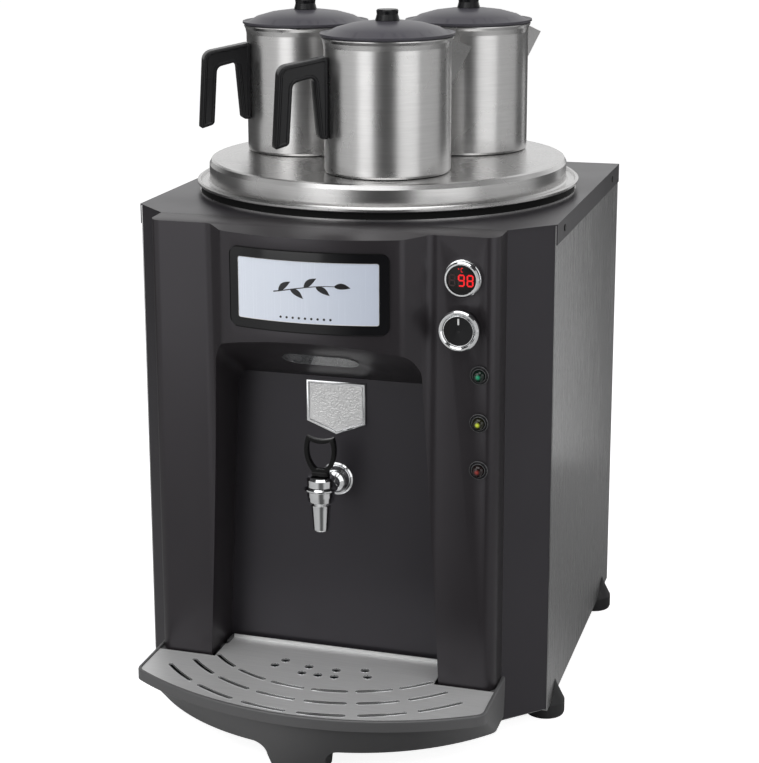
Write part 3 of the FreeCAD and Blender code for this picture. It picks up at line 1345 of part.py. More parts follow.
def foot_section(front, z):
    """The plan of the centre foot at one height: a curved front and a flat back."""
    half = TRAY_FOOT_HALF * 2
    sag = TRAY_KEEL_RADIUS - math.sqrt(TRAY_KEEL_RADIUS ** 2 - half ** 2)
    back = front + TRAY_FOOT_DEPTH
    return Part.Wire([
        Part.Arc(vec(-half, front + sag, z), vec(0, front, z), vec(half, front + sag, z)).toShape(),
        Part.LineSegment(vec(half, front + sag, z), vec(half, back, z)).toShape(),
        Part.LineSegment(vec(half, back, z), vec(-half, back, z)).toShape(),
        Part.LineSegment(vec(-half, back, z), vec(-half, front + sag, z)).toShape(),
    ])


def arc_slot(radius, angle):
    """One curved slot with round ends, centred on an angle from straight ahead."""
    r0 = radius - SLOT_WIDTH / 2
    r1 = radius + SLOT_WIDTH / 2
    low = GRID_TOP - GRID_THICK - 2
    high = GRID_TOP + 2
    half = SLOT_SPAN_ANGLE / 2
    ring = rod(r1, high - low, vec(0, SLOT_ARC_CENTRE, low), UP).cut(
        rod(r0, high - low, vec(0, SLOT_ARC_CENTRE, low), UP))
    reach = r1 * 1.2
    a0 = math.radians(angle - half)
    a1 = math.radians(angle + half)
    wedge = prism([(0, SLOT_ARC_CENTRE), (reach * math.sin(a0), SLOT_ARC_CENTRE - reach * math.cos(a0)),
                   (reach * math.sin(a1), SLOT_ARC_CENTRE - reach * math.cos(a1))], low, high)
    slot = ring.common(wedge)
    for a in (a0, a1):
        end = vec(radius * math.sin(a), SLOT_ARC_CENTRE - radius * math.cos(a), low)
        slot = slot.fuse(rod(SLOT_WIDTH / 2, high - low, end, UP))
    return slot


def drain_holes():
    """The loose arrow of round holes under the tap."""
    right = [(47.5, -78), (41, -64.5), (16.5, -87), (14, -72)]
    return both_sides(right) + [(0, -87.5)]


def make_drip_grid():
    """The stainless plate in the tray: three arcs of slots, round holes and a rear upstand."""
    rim = tray_wire(TRAY_FRONT_RADIUS, TRAY_FRONT_Y, TRAY_HALF, TRAY_CORNER, LEDGE_Z)
    plate = shrunk(rim, GRID_INSET + 0.4, LEDGE_Z).extrude(vec(0, 0, GRID_THICK))
    for row in range(3):
        for i in range(6):
            plate = plate.cut(arc_slot(SLOT_FIRST_RADIUS + row * SLOT_PITCH, (i - 2.5) * SLOT_STEP_ANGLE))
    for x, y in drain_holes():
        plate = plate.cut(rod(DRAIN_HOLE_RADIUS, 8, vec(x, y, LEDGE_Z - 3), UP))
    notch = column_notch()
    plate = plate.cut(notch)
    plate = plate.cut(notch.mirror(vec(0, 0, 0), ACROSS))
    back = TONGUE_BACK_Y - GRID_INSET - 0.4
    half = TONGUE_HALF - GRID_INSET - 0.4
    upstand = block(-half, half, back - GRID_THICK, back, GRID_TOP, GRID_TOP + GRID_UPSTAND)
    return plate.fuse(upstand).removeSplitter()


def notch_inner():
    """Inner edge of the grid's notches: the bay is narrower higher up, and the grid lifts through it."""
    return recess_half_at(GRID_TOP + GRID_LIFT - CEILING_RISE * (WALL_Y - COLUMN_Y)) - GRID_GAP


def column_notch():
    """The piece left out of the grid under the right column, so that it lifts straight up."""
    return block(notch_inner(), TRAY_HALF + 5, COLUMN_Y - GRID_GAP, FRONT_Y + 5, LEDGE_Z - 2, GRID_TOP + 10)


# Feet, screws and small fittings.

def foot_places():
    """Centres of the four feet."""
    return [(s * FOOT_X, y) for s in (-1, 1) for y in (FOOT_SETBACK, CASE_DEPTH - FOOT_SETBACK)]


def foot_screw_places():
    """Where each foot's screw passes the base plate: inboard of the side panels' returns."""
    return [(math.copysign(FOOT_X - FOOT_SCREW_INSET, x), y) for x, y in foot_places()]


def make_feet():
    """Four moulded feet, each with a pointed upstand over the side panel."""
    feet = []
    r = FOOT_RADIUS
    low = -FOOT_DROP
    tip = FOOT_TOP_RADIUS
    profile = [(0, low), (r - 3, low), (r - 0.9, low + 0.9), (r, low + 3), (r, low + 15),
               (r - 2.2, -0.6), (tip + 2.6, FOOT_PETAL * 0.6), (tip - 0.4, FOOT_PETAL + 1),
               (0, FOOT_PETAL + 1)]
    case = block(-HALF + SHEET - FIT, HALF - SHEET + FIT, -50, CASE_DEPTH + 50, 0, FOOT_PETAL + 5)
    pilots = [rod(COVER_SCREW_RADIUS + 0.05, 8, vec(x, y, -7), UP) for x, y in foot_screw_places()]
    for (x, y), pilot in zip(foot_places(), pilots):
        feet.append(turned(profile, (x, y)).cut([case, pilot]))
    return Part.makeCompound(feet)


def make_foot_screws():
    """One screw down through the base plate into each foot."""
    screws = []
    length = 2 * SHEET + 6
    for x, y in foot_screw_places():
        at = vec(x, y, 2 * SHEET)
        shank = rod(COVER_SCREW_RADIUS, length, at - UP * length, UP)
        screws.append(rod(4.0, 2.2, at, UP).fuse(shank).removeSplitter())
    return Part.makeCompound(screws)


def make_cover_screws():
    """Four countersunk screws through the cover's side flanges into the side panels."""
    screws = []
    for side in (-1, 1):
        for y in screw_spots():
            inward = vec(-side, 0, 0)
            at = vec(side * (HALF + 0.6), y, COVER_SCREW_Z)
            head = rod(3.4, 0.6, at, inward)
            shank = rod(COVER_SCREW_RADIUS, 8, at, inward)
            screws.append(head.fuse(shank).removeSplitter())
    return Part.makeCompound(screws)


def make_back_screws():
    """Six pan-head screws round the back panel."""
    screws = []
    for x, y, z in back_screw_places():
        head = rod(3.6, 2.0, vec(x, y, z), -FORWARD)
        shank = rod(COVER_SCREW_RADIUS, 6, vec(x, y, z), FORWARD)
        screws.append(head.fuse(shank).removeSplitter())
    return Part.makeCompound(screws)


def make_fascia_screws():
    """Four screws from inside the case through the front sheet into the fascia's bosses."""
    screws = []
    for x, z in boss_places():
        head = rod(3.6, 2.2, vec(x, FRONT_Y + SHEET, z), -FORWARD)
        shank = rod(1.5, 11, vec(x, FRONT_Y + SHEET, z), FORWARD)
        screws.append(head.fuse(shank).removeSplitter())
    return Part.makeCompound(screws)


def make_cable_gland():
    """The mains inlet gland low on the back panel: thread, hexagon and domed nut."""
    hexa = hexagon(GLAND_THREAD + 4, 6)
    profile = [(4.5, 6), (GLAND_THREAD + 2.6, 6), (GLAND_THREAD + 2.6, 16), (GLAND_THREAD, GLAND_REACH),
               (4.5, GLAND_REACH)]
    gland = hexa.fuse([turned(profile), rod(GLAND_THREAD, 12, vec(0, 0, -12), UP)]).removeSplitter()
    gland = gland.cut(rod(4.5, GLAND_REACH + 20, vec(0, 0, -13), UP))
    gland.rotate(vec(0, 0, 0), ACROSS, -90)
    gland.translate(vec(GLAND_X, CASE_DEPTH, GLAND_Z))
    return gland


def make_terminal_block():
    """The ceramic terminal block on the base plate, with its row of wire holes."""
    x = GLAND_X
    y = CASE_DEPTH - 80
    z = 2 * SHEET
    body = block(x - 32, x + 32, y - 12, y + 12, z, z + 20)
    for i in range(5):
        hole = rod(2.6, 30, vec(x - 24 + 12 * i, y - 15, z + 9), -FORWARD)
        body = body.cut(hole)
    return body


def build():
    """Make every piece and write it."""
    save("top_cover", make_top_cover())
    save("side_panel_left", make_side_panel(-1))
    save("side_panel_right", make_side_panel(1))
    save("back_panel", make_back_panel())
    save("base_plate", make_base_plate())
    save("front_panel", make_front_panel())
    save("recess_panel", make_recess_panel())
    save("front_fascia", make_front_fascia())
    save("display_frame", make_display_frame())
    save("display_panel", make_display_panel())
    save("thermometer_bezel", make_thermometer_bezel())
    save("thermometer_display", make_thermometer_display())
    save("indicator_bezels", make_indicator_bezels())
    for name, z in zip(("green", "yellow", "red"), lamp_heights()):
        save("indicator_lens_" + name, make_indicator_lens(z))
    save("recess_lamp", make_recess_lamp())
    save("recess_lamp_leds", make_recess_leds())
    save("badge_plate", make_badge_plate())
    save("thermostat_body", make_thermostat_body())
    save("knob_shaft", make_knob_shaft())
    save("knob_body", make_knob_body())
    save("knob_ring", make_knob_ring())
    save("tap_flange", make_tap_flange())
    save("tap_body", make_tap_body())
    save("tap_bonnet", make_tap_bonnet())
    save("tap_lock_nut", make_tap_lock_nut())
    save("tap_lever", make_tap_lever())
    save("lever_pin", make_lever_pin())
    save("seat_cup", make_seat_cup())
    save("water_tank", make_water_tank())
    save("insulation_jacket", make_insulation_jacket())
    save("tank_legs", make_tank_legs())
    save("heater_plug", make_heater_plug())
    save("heating_element", make_heating_element())
    save("sensor_pockets", make_sensor_pockets())
    save("overheat_cutout", make_overheat_cutout())
    save("boiler_seal", make_boiler_seal())
    save("boiler_lid", make_boiler_lid())
    body = make_pot_body()
    handle = make_pot_handle()
    lid = make_pot_lid()
    knob = make_lid_knob()
    for name, place in zip(("front", "left", "right"), pot_places()):
        save("pot_" + name + "_body", to_pot(body, place))
        save("pot_" + name + "_handle", to_pot(handle, place))
        save("pot_" + name + "_lid", to_pot(lid, place))
        save("pot_" + name + "_knob", to_pot(knob, place))
    save("drip_tray", make_drip_tray())
    save("drip_grid", make_drip_grid())
    save("feet", make_feet())
    save("foot_screws", make_foot_screws())
    save("cover_screws", make_cover_screws())
    save("back_screws", make_back_screws())
    save("fascia_screws", make_fascia_screws())
    save("cable_gland", make_cable_gland())
    save("terminal_block", make_terminal_block())


build()
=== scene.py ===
# %% [markdown]
# # A tea urn with three brewing pots
# The real object is a sheet-metal box round a round water tank. A moulded fascia with a
# recess, a tap and a drip tray stands in front, and three small pots keep warm on the
# lid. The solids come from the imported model, so every piece already has its true size
# and place. This lesson gives them their finishes, adds the fine pieces, and lights it.

# %% Load the frame
import json
import math
import bmesh
import bpy
from mathutils import Matrix, Vector


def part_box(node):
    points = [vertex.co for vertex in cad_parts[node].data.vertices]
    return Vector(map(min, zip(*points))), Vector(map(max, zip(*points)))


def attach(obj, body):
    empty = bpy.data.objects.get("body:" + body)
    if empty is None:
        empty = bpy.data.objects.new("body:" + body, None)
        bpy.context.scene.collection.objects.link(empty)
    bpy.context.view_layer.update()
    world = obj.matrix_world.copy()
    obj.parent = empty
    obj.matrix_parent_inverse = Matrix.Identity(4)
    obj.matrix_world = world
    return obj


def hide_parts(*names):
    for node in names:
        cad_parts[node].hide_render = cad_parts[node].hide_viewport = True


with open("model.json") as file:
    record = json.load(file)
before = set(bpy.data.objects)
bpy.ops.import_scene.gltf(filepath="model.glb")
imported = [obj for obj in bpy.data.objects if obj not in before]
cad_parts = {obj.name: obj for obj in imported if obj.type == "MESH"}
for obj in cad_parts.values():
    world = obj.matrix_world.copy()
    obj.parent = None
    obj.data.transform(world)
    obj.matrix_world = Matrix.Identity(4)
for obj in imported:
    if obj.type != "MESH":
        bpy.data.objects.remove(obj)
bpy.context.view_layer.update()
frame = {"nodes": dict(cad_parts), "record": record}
nodes = frame["nodes"]
MM = 0.001

# %% [markdown]
# ## The camera
# The photograph is taken from a little above the lid and from the right of the tap. The
# place and the turn were worked out from the corners of the case. A long lens keeps the
# upright edges nearly parallel, and a small shift frames the urn as the photograph does.

# %% Camera
EYE = Vector((0.51908, -1.76342, 0.84057))
RIGHT = Vector((0.948649, 0.316115, -0.011686))
UP = Vector((-0.061104, 0.219350, 0.973731))
FORWARD = Vector((-0.310376, 0.923017, -0.227402))
SENSOR_WIDTH = 36
LENS_LENGTH = 86.838
SHIFT = (0.1001, -0.1201)
camera_data = bpy.data.cameras.new("camera")
camera_data.sensor_width = SENSOR_WIDTH
camera_data.lens = LENS_LENGTH
camera_data.shift_x, camera_data.shift_y = SHIFT
camera = bpy.data.objects.new("camera", camera_data)
turn = Matrix((RIGHT, UP, -FORWARD)).transposed().to_4x4()
camera.matrix_world = Matrix.Translation(EYE) @ turn
bpy.context.collection.objects.link(camera)
bpy.context.scene.camera = camera
print("camera", round(camera_data.lens, 1), "mm lens")

# %% [markdown]
# ## The studio
# Polished steel is only as good as what it mirrors. Pairs of wide soft boxes stand to
# the left and right, which draw the bright upright bands on the pots. Between them the
# room behind the camera stays dark, which draws the narrow dark band. A soft box hangs
# above, one high in front lifts the dark plastic and lights the recess, and a slim one
# behind the right side draws the gleam along that panel's front edge.
# The backdrop is white, so its light comes back off the lid at a low angle.

# %% Lights
LOOK_AT = Vector((0.0, 0.0, 0.38))


def soft_box(name, azimuth, elevation, distance, width, height, radiance):
    """A light of that width and height in metres, which faces the urn.

    Angles are in degrees, and the radiance is the brightness that a mirror shows.
    """
    a = math.radians(azimuth)
    e = math.radians(elevation)
    way = Vector((math.sin(a) * math.cos(e), -math.cos(a) * math.cos(e), math.sin(e)))
    data = bpy.data.lights.new(name, "AREA")
    data.shape = "RECTANGLE"
    data.size = width
    data.size_y = height
    data.energy = radiance * math.pi * width * height
    light = bpy.data.objects.new(name, data)
    light.location = LOOK_AT + way * distance
    light.visible_camera = False
    light.rotation_euler = (-way).to_track_quat("-Z", "Y").to_euler()
    bpy.context.collection.objects.link(light)


soft_box("box_left_near", -23, 8, 2.4, 1.2, 2.4, 1.45)
soft_box("box_left_far", -62, 8, 2.4, 2.1, 2.4, 0.55)
soft_box("box_right_near", 53, 8, 2.4, 1.8, 2.4, 1.15)
soft_box("box_right_far", 99, 8, 2.4, 1.9, 2.4, 0.45)
soft_box("box_side", 147, -6, 0.80, 0.10, 0.55, 0.72)
soft_box("box_above", 10, 74, 2.2, 2.2, 1.6, 2.2)
soft_box("box_front", -6, 40, 2.3, 2.4, 0.9, 1.5)

# %% [markdown]
# ## The room and the floor
# The room is a plain gradient that the metal mirrors: dark in front, white behind. The
# camera itself sees pure white, and so does the floor, which is white paper that glows a
# little to melt into the backdrop. What the urn mirrors of the floor is a quieter grey,
# with a dark wedge towards the camera, which draws the dark stripe in the tap's chrome.

# %% Room


def wire(tree, *pairs):
    """Link each output socket to its input socket."""
    for source, target in pairs:
        tree.links.new(source, target)


ROOM_FRONT = 0.05
ROOM_BACK = 1.10
FADE_START = 0.35
FADE_END = 0.85
world = bpy.data.worlds.new("room")
world.use_nodes = True
bpy.context.scene.world = world
room = world.node_tree
room.nodes.clear()
room_out = room.nodes.new("ShaderNodeOutputWorld")
seen = room.nodes.new("ShaderNodeBackground")
seen.inputs["Color"].default_value = (1, 1, 1, 1)
mirrored = room.nodes.new("ShaderNodeBackground")
paths = room.nodes.new("ShaderNodeLightPath")
pick_ray = room.nodes.new("ShaderNodeMixShader")
where = room.nodes.new("ShaderNodeTexCoord")
split = room.nodes.new("ShaderNodeSeparateXYZ")
fade = room.nodes.new("ShaderNodeMapRange")
fade.inputs["From Min"].default_value = FADE_START
fade.inputs["From Max"].default_value = FADE_END
fade.inputs["To Min"].default_value = ROOM_FRONT
fade.inputs["To Max"].default_value = ROOM_BACK
wire(room,
     (where.outputs["Generated"], split.inputs["Vector"]),
     (split.outputs["Y"], fade.inputs["Value"]),
     (fade.outputs["Result"], mirrored.inputs["Strength"]),
     (paths.outputs["Is Camera Ray"], pick_ray.inputs["Fac"]),
     (mirrored.outputs["Background"], pick_ray.inputs[1]),
     (seen.outputs["Background"], pick_ray.inputs[2]),
     (pick_ray.outputs["Shader"], room_out.inputs["Surface"]))
bpy.context.scene.view_settings.view_transform = "Standard"
print("room", ROOM_FRONT, "in front,", ROOM_BACK, "behind")

# %% Floor


def deselect_all():
    """Leave nothing selected, as an operator acts on all that is."""
    bpy.ops.object.select_all(action="DESELECT")


FLOOR_SIZE = 30
FLOOR_GLOW = 0.88
deselect_all()
bpy.ops.mesh.primitive_plane_add(size=FLOOR_SIZE, location=(0, 0, 0))
floor = bpy.context.object
floor.name = "floor"
floor_finish = bpy.data.materials.new("floor")
floor_finish.use_nodes = True
floor_tree = floor_finish.node_tree
paper = floor_tree.nodes["Principled BSDF"]
paper.inputs["Base Color"].default_value = (0.86, 0.86, 0.86, 1)
paper.inputs["Roughness"].default_value = 0.9
paper.inputs["Specular IOR Level"].default_value = 0.0
paper.inputs["Emission Color"].default_value = (1, 1, 1, 1)
paper.inputs["Emission Strength"].default_value = FLOOR_GLOW
print("floor", floor.dimensions[0], "m wide")

# %% The floor as the metal mirrors it
FLOOR_DARK = 0.12
FLOOR_BRIGHT = 0.62
FLOOR_BACK = 0.34
WEDGE_TURN = -16
WEDGE_END = 0.05
BRIGHT_BAND = (0.13, 0.42)
BACK_START = 0.62
table_top = floor_tree.nodes.new("ShaderNodeBsdfDiffuse")
floor_place = floor_tree.nodes.new("ShaderNodeTexCoord")
floor_turn = floor_tree.nodes.new("ShaderNodeMapping")
floor_turn.inputs["Rotation"].default_value = (0, 0, math.radians(WEDGE_TURN))
floor_split = floor_tree.nodes.new("ShaderNodeSeparateXYZ")
floor_angle = floor_tree.nodes.new("ShaderNodeMath")
floor_angle.operation = "ARCTAN2"
floor_side = floor_tree.nodes.new("ShaderNodeMath")
floor_side.operation = "ABSOLUTE"
floor_fade = floor_tree.nodes.new("ShaderNodeMapRange")
floor_fade.inputs["From Min"].default_value = -math.pi / 2
floor_fade.inputs["From Max"].default_value = math.pi / 2
floor_ramp = floor_tree.nodes.new("ShaderNodeValToRGB")
floor_stops = floor_ramp.color_ramp.elements
floor_stops[0].position = WEDGE_END
floor_stops[0].color = (FLOOR_DARK, FLOOR_DARK, FLOOR_DARK, 1)
floor_stops[1].position = BACK_START
floor_stops[1].color = (FLOOR_BACK, FLOOR_BACK, FLOOR_BACK, 1)
for place in BRIGHT_BAND:
    floor_stops.new(place).color = (FLOOR_BRIGHT, FLOOR_BRIGHT, FLOOR_BRIGHT, 1)
floor_ray = floor_tree.nodes.new("ShaderNodeLightPath")
floor_pick = floor_tree.nodes.new("ShaderNodeMixShader")
floor_out = floor_tree.nodes["Material Output"]
wire(floor_tree,
     (floor_place.outputs["Object"], floor_turn.inputs["Vector"]),
     (floor_turn.outputs["Vector"], floor_split.inputs["Vector"]),
     (floor_split.outputs["X"], floor_side.inputs[0]),
     (floor_split.outputs["Y"], floor_angle.inputs[0]),
     (floor_side.outputs["Value"], floor_angle.inputs[1]),
     (floor_angle.outputs["Value"], floor_fade.inputs["Value"]),
     (floor_fade.outputs["Result"], floor_ramp.inputs["Fac"]),
     (floor_ramp.outputs["Color"], table_top.inputs["Color"]),
     (floor_ray.outputs["Is Camera Ray"], floor_pick.inputs["Fac"]),
     (table_top.outputs["BSDF"], floor_pick.inputs[1]),
     (paper.outputs["BSDF"], floor_pick.inputs[2]),
     (floor_pick.outputs["Shader"], floor_out.inputs["Surface"]))
floor.data.materials.append(floor_finish)
print("floor mirrored as", FLOOR_DARK, FLOOR_BRIGHT, FLOOR_BACK)

# %% [markdown]
# ## Grain and wear as node groups
# Brushed steel, satin plastic and chrome all need fine, uneven detail. Three small groups
# make it, and each material below sets its own amounts. A group gives out only masks,
# heights and turned places, and the shader itself stays in the material.

# %% A group for straight and turned grain


def new_group(name, inputs, outputs):
    """An empty shader group with named number or vector inputs and outputs."""
    group = bpy.data.node_groups.new(name, "ShaderNodeTree")
    for label, kind, value in inputs:
        socket = group.interface.new_socket(label, in_out="INPUT", socket_type=kind)
        if value is not None:
            socket.default_value = value
    for label, kind in outputs:
        group.interface.new_socket(label, in_out="OUTPUT", socket_type=kind)
    entry = group.nodes.new("NodeGroupInput")
    result = group.nodes.new("NodeGroupOutput")
    return group, entry, result


def add_node(tree, kind, **settings):
    """A new node with its own settings, such as its operation."""
    node = tree.nodes.new(kind)
    for label, value in settings.items():
        setattr(node, label, value)
    return node


NUMBER = "NodeSocketFloat"
VECTOR = "NodeSocketVector"
grain_group, grain_in, grain_out = new_group(
    "grain",
    [("Vector", VECTOR, None), ("Fineness", NUMBER, 1.0), ("Detail", NUMBER, 4.0)],
    [("Streak", NUMBER), ("Height", NUMBER)])
stretch = add_node(grain_group, "ShaderNodeVectorMath", operation="SCALE")
streak = add_node(grain_group, "ShaderNodeTexNoise")
streak.inputs["Scale"].default_value = 1.0
streak.inputs["Roughness"].default_value = 0.62
spread = add_node(grain_group, "ShaderNodeMapRange")
spread.inputs["From Min"].default_value = 0.3
spread.inputs["From Max"].default_value = 0.7
wire(grain_group,
     (grain_in.outputs["Vector"], stretch.inputs["Vector"]),
     (grain_in.outputs["Fineness"], stretch.inputs["Scale"]),
     (stretch.outputs["Vector"], streak.inputs["Vector"]),
     (grain_in.outputs["Detail"], streak.inputs["Detail"]),
     (streak.outputs["Fac"], spread.inputs["Value"]),
     (spread.outputs["Result"], grain_out.inputs["Streak"]),
     (streak.outputs["Fac"], grain_out.inputs["Height"]))
print("group", grain_group.name)

# %% A group that turns places into rings
ring_group, ring_in, ring_out = new_group(
    "rings", [("Vector", VECTOR, None), ("Along", NUMBER, 0.02)], [("Vector", VECTOR)])
ring_split = add_node(ring_group, "ShaderNodeSeparateXYZ")
ring_flat = add_node(ring_group, "ShaderNodeCombineXYZ")
ring_radius = add_node(ring_group, "ShaderNodeVectorMath", operation="LENGTH")
ring_angle = add_node(ring_group, "ShaderNodeMath", operation="ARCTAN2")
ring_along = add_node(ring_group, "ShaderNodeMath", operation="MULTIPLY")
ring_join = add_node(ring_group, "ShaderNodeCombineXYZ")
wire(ring_group,
     (ring_in.outputs["Vector"], ring_split.inputs["Vector"]),
     (ring_split.outputs["X"], ring_flat.inputs["X"]),
     (ring_split.outputs["Y"], ring_flat.inputs["Y"]),
     (ring_flat.outputs["Vector"], ring_radius.inputs[0]),
     (ring_split.outputs["Y"], ring_angle.inputs[0]),
     (ring_split.outputs["X"], ring_angle.inputs[1]),
     (ring_angle.outputs["Value"], ring_along.inputs[0]),
     (ring_in.outputs["Along"], ring_along.inputs[1]),
     (ring_radius.outputs["Value"], ring_join.inputs["X"]),
     (ring_along.outputs["Value"], ring_join.inputs["Y"]),
     (ring_split.outputs["Z"], ring_join.inputs["Z"]),
     (ring_join.outputs["Vector"], ring_out.inputs["Vector"]))
print("group", ring_group.name)

# %% A group for slow smudges and fine moulded grain
mottle_group, mottle_in, mottle_out = new_group(
    "mottle",
    [("Vector", VECTOR, None), ("Smudge Size", NUMBER, 0.12), ("Grain Size", NUMBER, 0.0006)],
    [("Smudge", NUMBER), ("Grain", NUMBER)])
for label, socket, size_name, detail in (("smudge", "Smudge", "Smudge Size", 3.0),
                                          ("pebble", "Grain", "Grain Size", 1.0)):
    invert = add_node(mottle_group, "ShaderNodeMath", operation="DIVIDE")
    invert.inputs[0].default_value = 1.0
    noise = add_node(mottle_group, "ShaderNodeTexNoise", name=label)
    noise.inputs["Detail"].default_value = detail
    wire(mottle_group,
         (mottle_in.outputs[size_name], invert.inputs[1]),
         (invert.outputs["Value"], noise.inputs["Scale"]),
         (mottle_in.outputs["Vector"], noise.inputs["Vector"]),
         (noise.outputs["Fac"], mottle_out.inputs[socket]))
print("group", mottle_group.name)

# %% [markdown]
# ## Helpers that make a finish
# A finish starts as one Principled shader with its plain values on the shader itself.
# The groups then vary the colour and the roughness a little and raise a fine bump. Each
# finish is given to all the solids that share its slot in the record.

# %% Helpers for finishes
GRAIN_DEPTH = 0.2 * MM
SKIN_DEPTH = 0.1 * MM


def new_finish(name, colour, metallic, roughness, **sockets):
    """A material with one Principled shader and plain values on its sockets."""
    finish = bpy.data.materials.new(name)
    finish.use_nodes = True
    shader = finish.node_tree.nodes["Principled BSDF"]
    shader.inputs["Base Color"].default_value = (*colour, 1)
    shader.inputs["Metallic"].default_value = metallic
    shader.inputs["Roughness"].default_value = roughness
    for label, value in sockets.items():
        shader.inputs[label.replace("_", " ")].default_value = value
    return finish, finish.node_tree, shader


def object_place(tree, centre=(0, 0, 0), scale=(1, 1, 1)):
    """Object coordinates measured from a centre, stretched by a scale."""
    where = add_node(tree, "ShaderNodeTexCoord")
    place = add_node(tree, "ShaderNodeMapping", vector_type="POINT")
    place.inputs["Location"].default_value = [-c * s for c, s in zip(centre, scale)]
    place.inputs["Scale"].default_value = scale
    tree.links.new(where.outputs["Object"], place.inputs["Vector"])
    return place.outputs["Vector"]


def use_group(tree, group, vector, **values):
    """A placed group with its vector linked and its own numbers."""
    node = add_node(tree, "ShaderNodeGroup", node_tree=group)
    tree.links.new(vector, node.inputs["Vector"])
    for label, value in values.items():
        node.inputs[label.replace("_", " ")].default_value = value
    return node


def vary(tree, mask, low, high, socket):
    """Drive a shader socket between two numbers by a mask."""
    span = add_node(tree, "ShaderNodeMapRange")
    span.inputs["To Min"].default_value = low
    span.inputs["To Max"].default_value = high
    tree.links.new(mask, span.inputs["Value"])
    tree.links.new(span.outputs["Result"], socket)


def tint(tree, mask, dark, light, socket):
    """Drive a shader colour between two colours by a mask."""
    ramp = add_node(tree, "ShaderNodeMix", data_type="RGBA")
    ramp.inputs["A"].default_value = (*dark, 1)
    ramp.inputs["B"].default_value = (*light, 1)
    tree.links.new(mask, ramp.inputs["Factor"])
    tree.links.new(ramp.outputs["Result"], socket)


def raise_bump(tree, height, strength, distance, shader):
    """Bump from a height, in metres of depth."""
    bump = add_node(tree, "ShaderNodeBump")
    bump.inputs["Strength"].default_value = strength
    bump.inputs["Distance"].default_value = distance
    tree.links.new(height, bump.inputs["Height"])
    tree.links.new(bump.outputs["Normal"], shader.inputs["Normal"])


def dress(finish, *names):
    """Give a finish to solids of the frame by name."""
    for name in names:
        for place in nodes[name].material_slots:
            place.material = finish


def in_slot(slot):
    """Names of the solids whose record slot is this one."""
    return sorted(name for name, node in nodes.items()
                  if node.data.materials[0].name.split(".")[0] == slot)


SLOTS = {m["slot"]: in_slot(m["slot"]) for m in frame["record"]["materials"]}
print("slots", {k: len(v) for k, v in SLOTS.items()})

# %% [markdown]
# ## Sheet steel of the case
# The side panels and the back are stainless sheet with a fine upright grain. Noise that
# is stretched along Z makes the streaks, which vary the roughness and raise a very
# shallow bump. A slow smudge keeps the big flat panel from looking computed.

# %% Brushed sheet


def sheet_steel(name, colour, roughness, scale, bump, metallic=1.0):
    """Brushed sheet whose streaks run along the axis with the smallest scale."""
    finish, tree, shader = new_finish(name, colour, metallic, roughness)
    grain = use_group(tree, grain_group, object_place(tree, scale=scale), Detail=5.0)
    slow = use_group(tree, mottle_group, object_place(tree), Smudge_Size=0.14)
    mixed = add_node(tree, "ShaderNodeMath", operation="MULTIPLY")
    tree.links.new(grain.outputs["Streak"], mixed.inputs[0])
    tree.links.new(slow.outputs["Smudge"], mixed.inputs[1])
    vary(tree, mixed.outputs["Value"], roughness - 0.07, roughness + 0.14,
         shader.inputs["Roughness"])
    darker = tuple(c * 0.88 for c in colour)
    tint(tree, grain.outputs["Streak"], darker, colour, shader.inputs["Base Color"])
    raise_bump(tree, grain.outputs["Height"], bump, GRAIN_DEPTH, shader)
    return finish


UPRIGHT_GRAIN = (900, 900, 14)
SIDEWAYS_GRAIN = (20, 700, 700)
EVEN_GRAIN = (60, 60, 60)
side_finish = sheet_steel("side_steel", (0.52, 0.52, 0.525), 0.28, UPRIGHT_GRAIN, 0.20)
dress(side_finish, *SLOTS["case_steel"])
grid_finish = sheet_steel("grid_steel", (0.86, 0.86, 0.86), 0.40, SIDEWAYS_GRAIN, 0.10,
                          metallic=0.45)
dress(grid_finish, *SLOTS["grid_steel"])
zinc_finish = sheet_steel("zinc_sheet", (0.50, 0.51, 0.50), 0.42, EVEN_GRAIN, 0.15)
dress(zinc_finish, *SLOTS["zinc_steel"])
print("sheet steel on", SLOTS["case_steel"])

# %% [markdown]
# ## Spun and turned steel
# The lid of the boiler and the pots are spun on a lathe, so their grain runs in rings
# round their own axes. The ring group measures each point by its radius, and the grain
# group draws fine lines from it. Each pot has its own axis, so each has its own finish.

# %% Turned steel


def turned_steel(name, colour, roughness, centre, along, fine, bump):
    """Steel with rings round an upright axis at the centre."""
    finish, tree, shader = new_finish(name, colour, 1.0, roughness)
    rings = use_group(tree, ring_group, object_place(tree, centre), Along=along)
    grain = use_group(tree, grain_group, rings.outputs["Vector"], Fineness=fine, Detail=4.0)
    slow = use_group(tree, mottle_group, object_place(tree), Smudge_Size=0.05)
    vary(tree, slow.outputs["Smudge"], roughness - 0.04, roughness + 0.06,
         shader.inputs["Roughness"])
    darker = tuple(c * 0.9 for c in colour)
    tint(tree, grain.outputs["Streak"], darker, colour, shader.inputs["Base Color"])
    raise_bump(tree, grain.outputs["Height"], bump, GRAIN_DEPTH, shader)
    return finish


def middle(name):
    """The middle of a solid's box, on the floor."""
    low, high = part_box(name)
    return ((low.x + high.x) / 2, (low.y + high.y) / 2, 0.0)


POTS = ("front", "left", "right")
LID_CENTRE = middle("boiler_lid")
lid_finish = turned_steel("lid_steel", (0.68, 0.675, 0.67), 0.26, LID_CENTRE, 0.004, 600, 0.04)
dress(lid_finish, *SLOTS["spun_steel"])
for which in POTS:
    axis = middle("pot_%s_lid" % which)
    pot = turned_steel("pot_steel_" + which, (0.66, 0.655, 0.65), 0.27, axis, 0.003, 620, 0.0)
    dress(pot, "pot_%s_body" % which)
print("turned steel round", [round(1000 * v, 1) for v in LID_CENTRE])

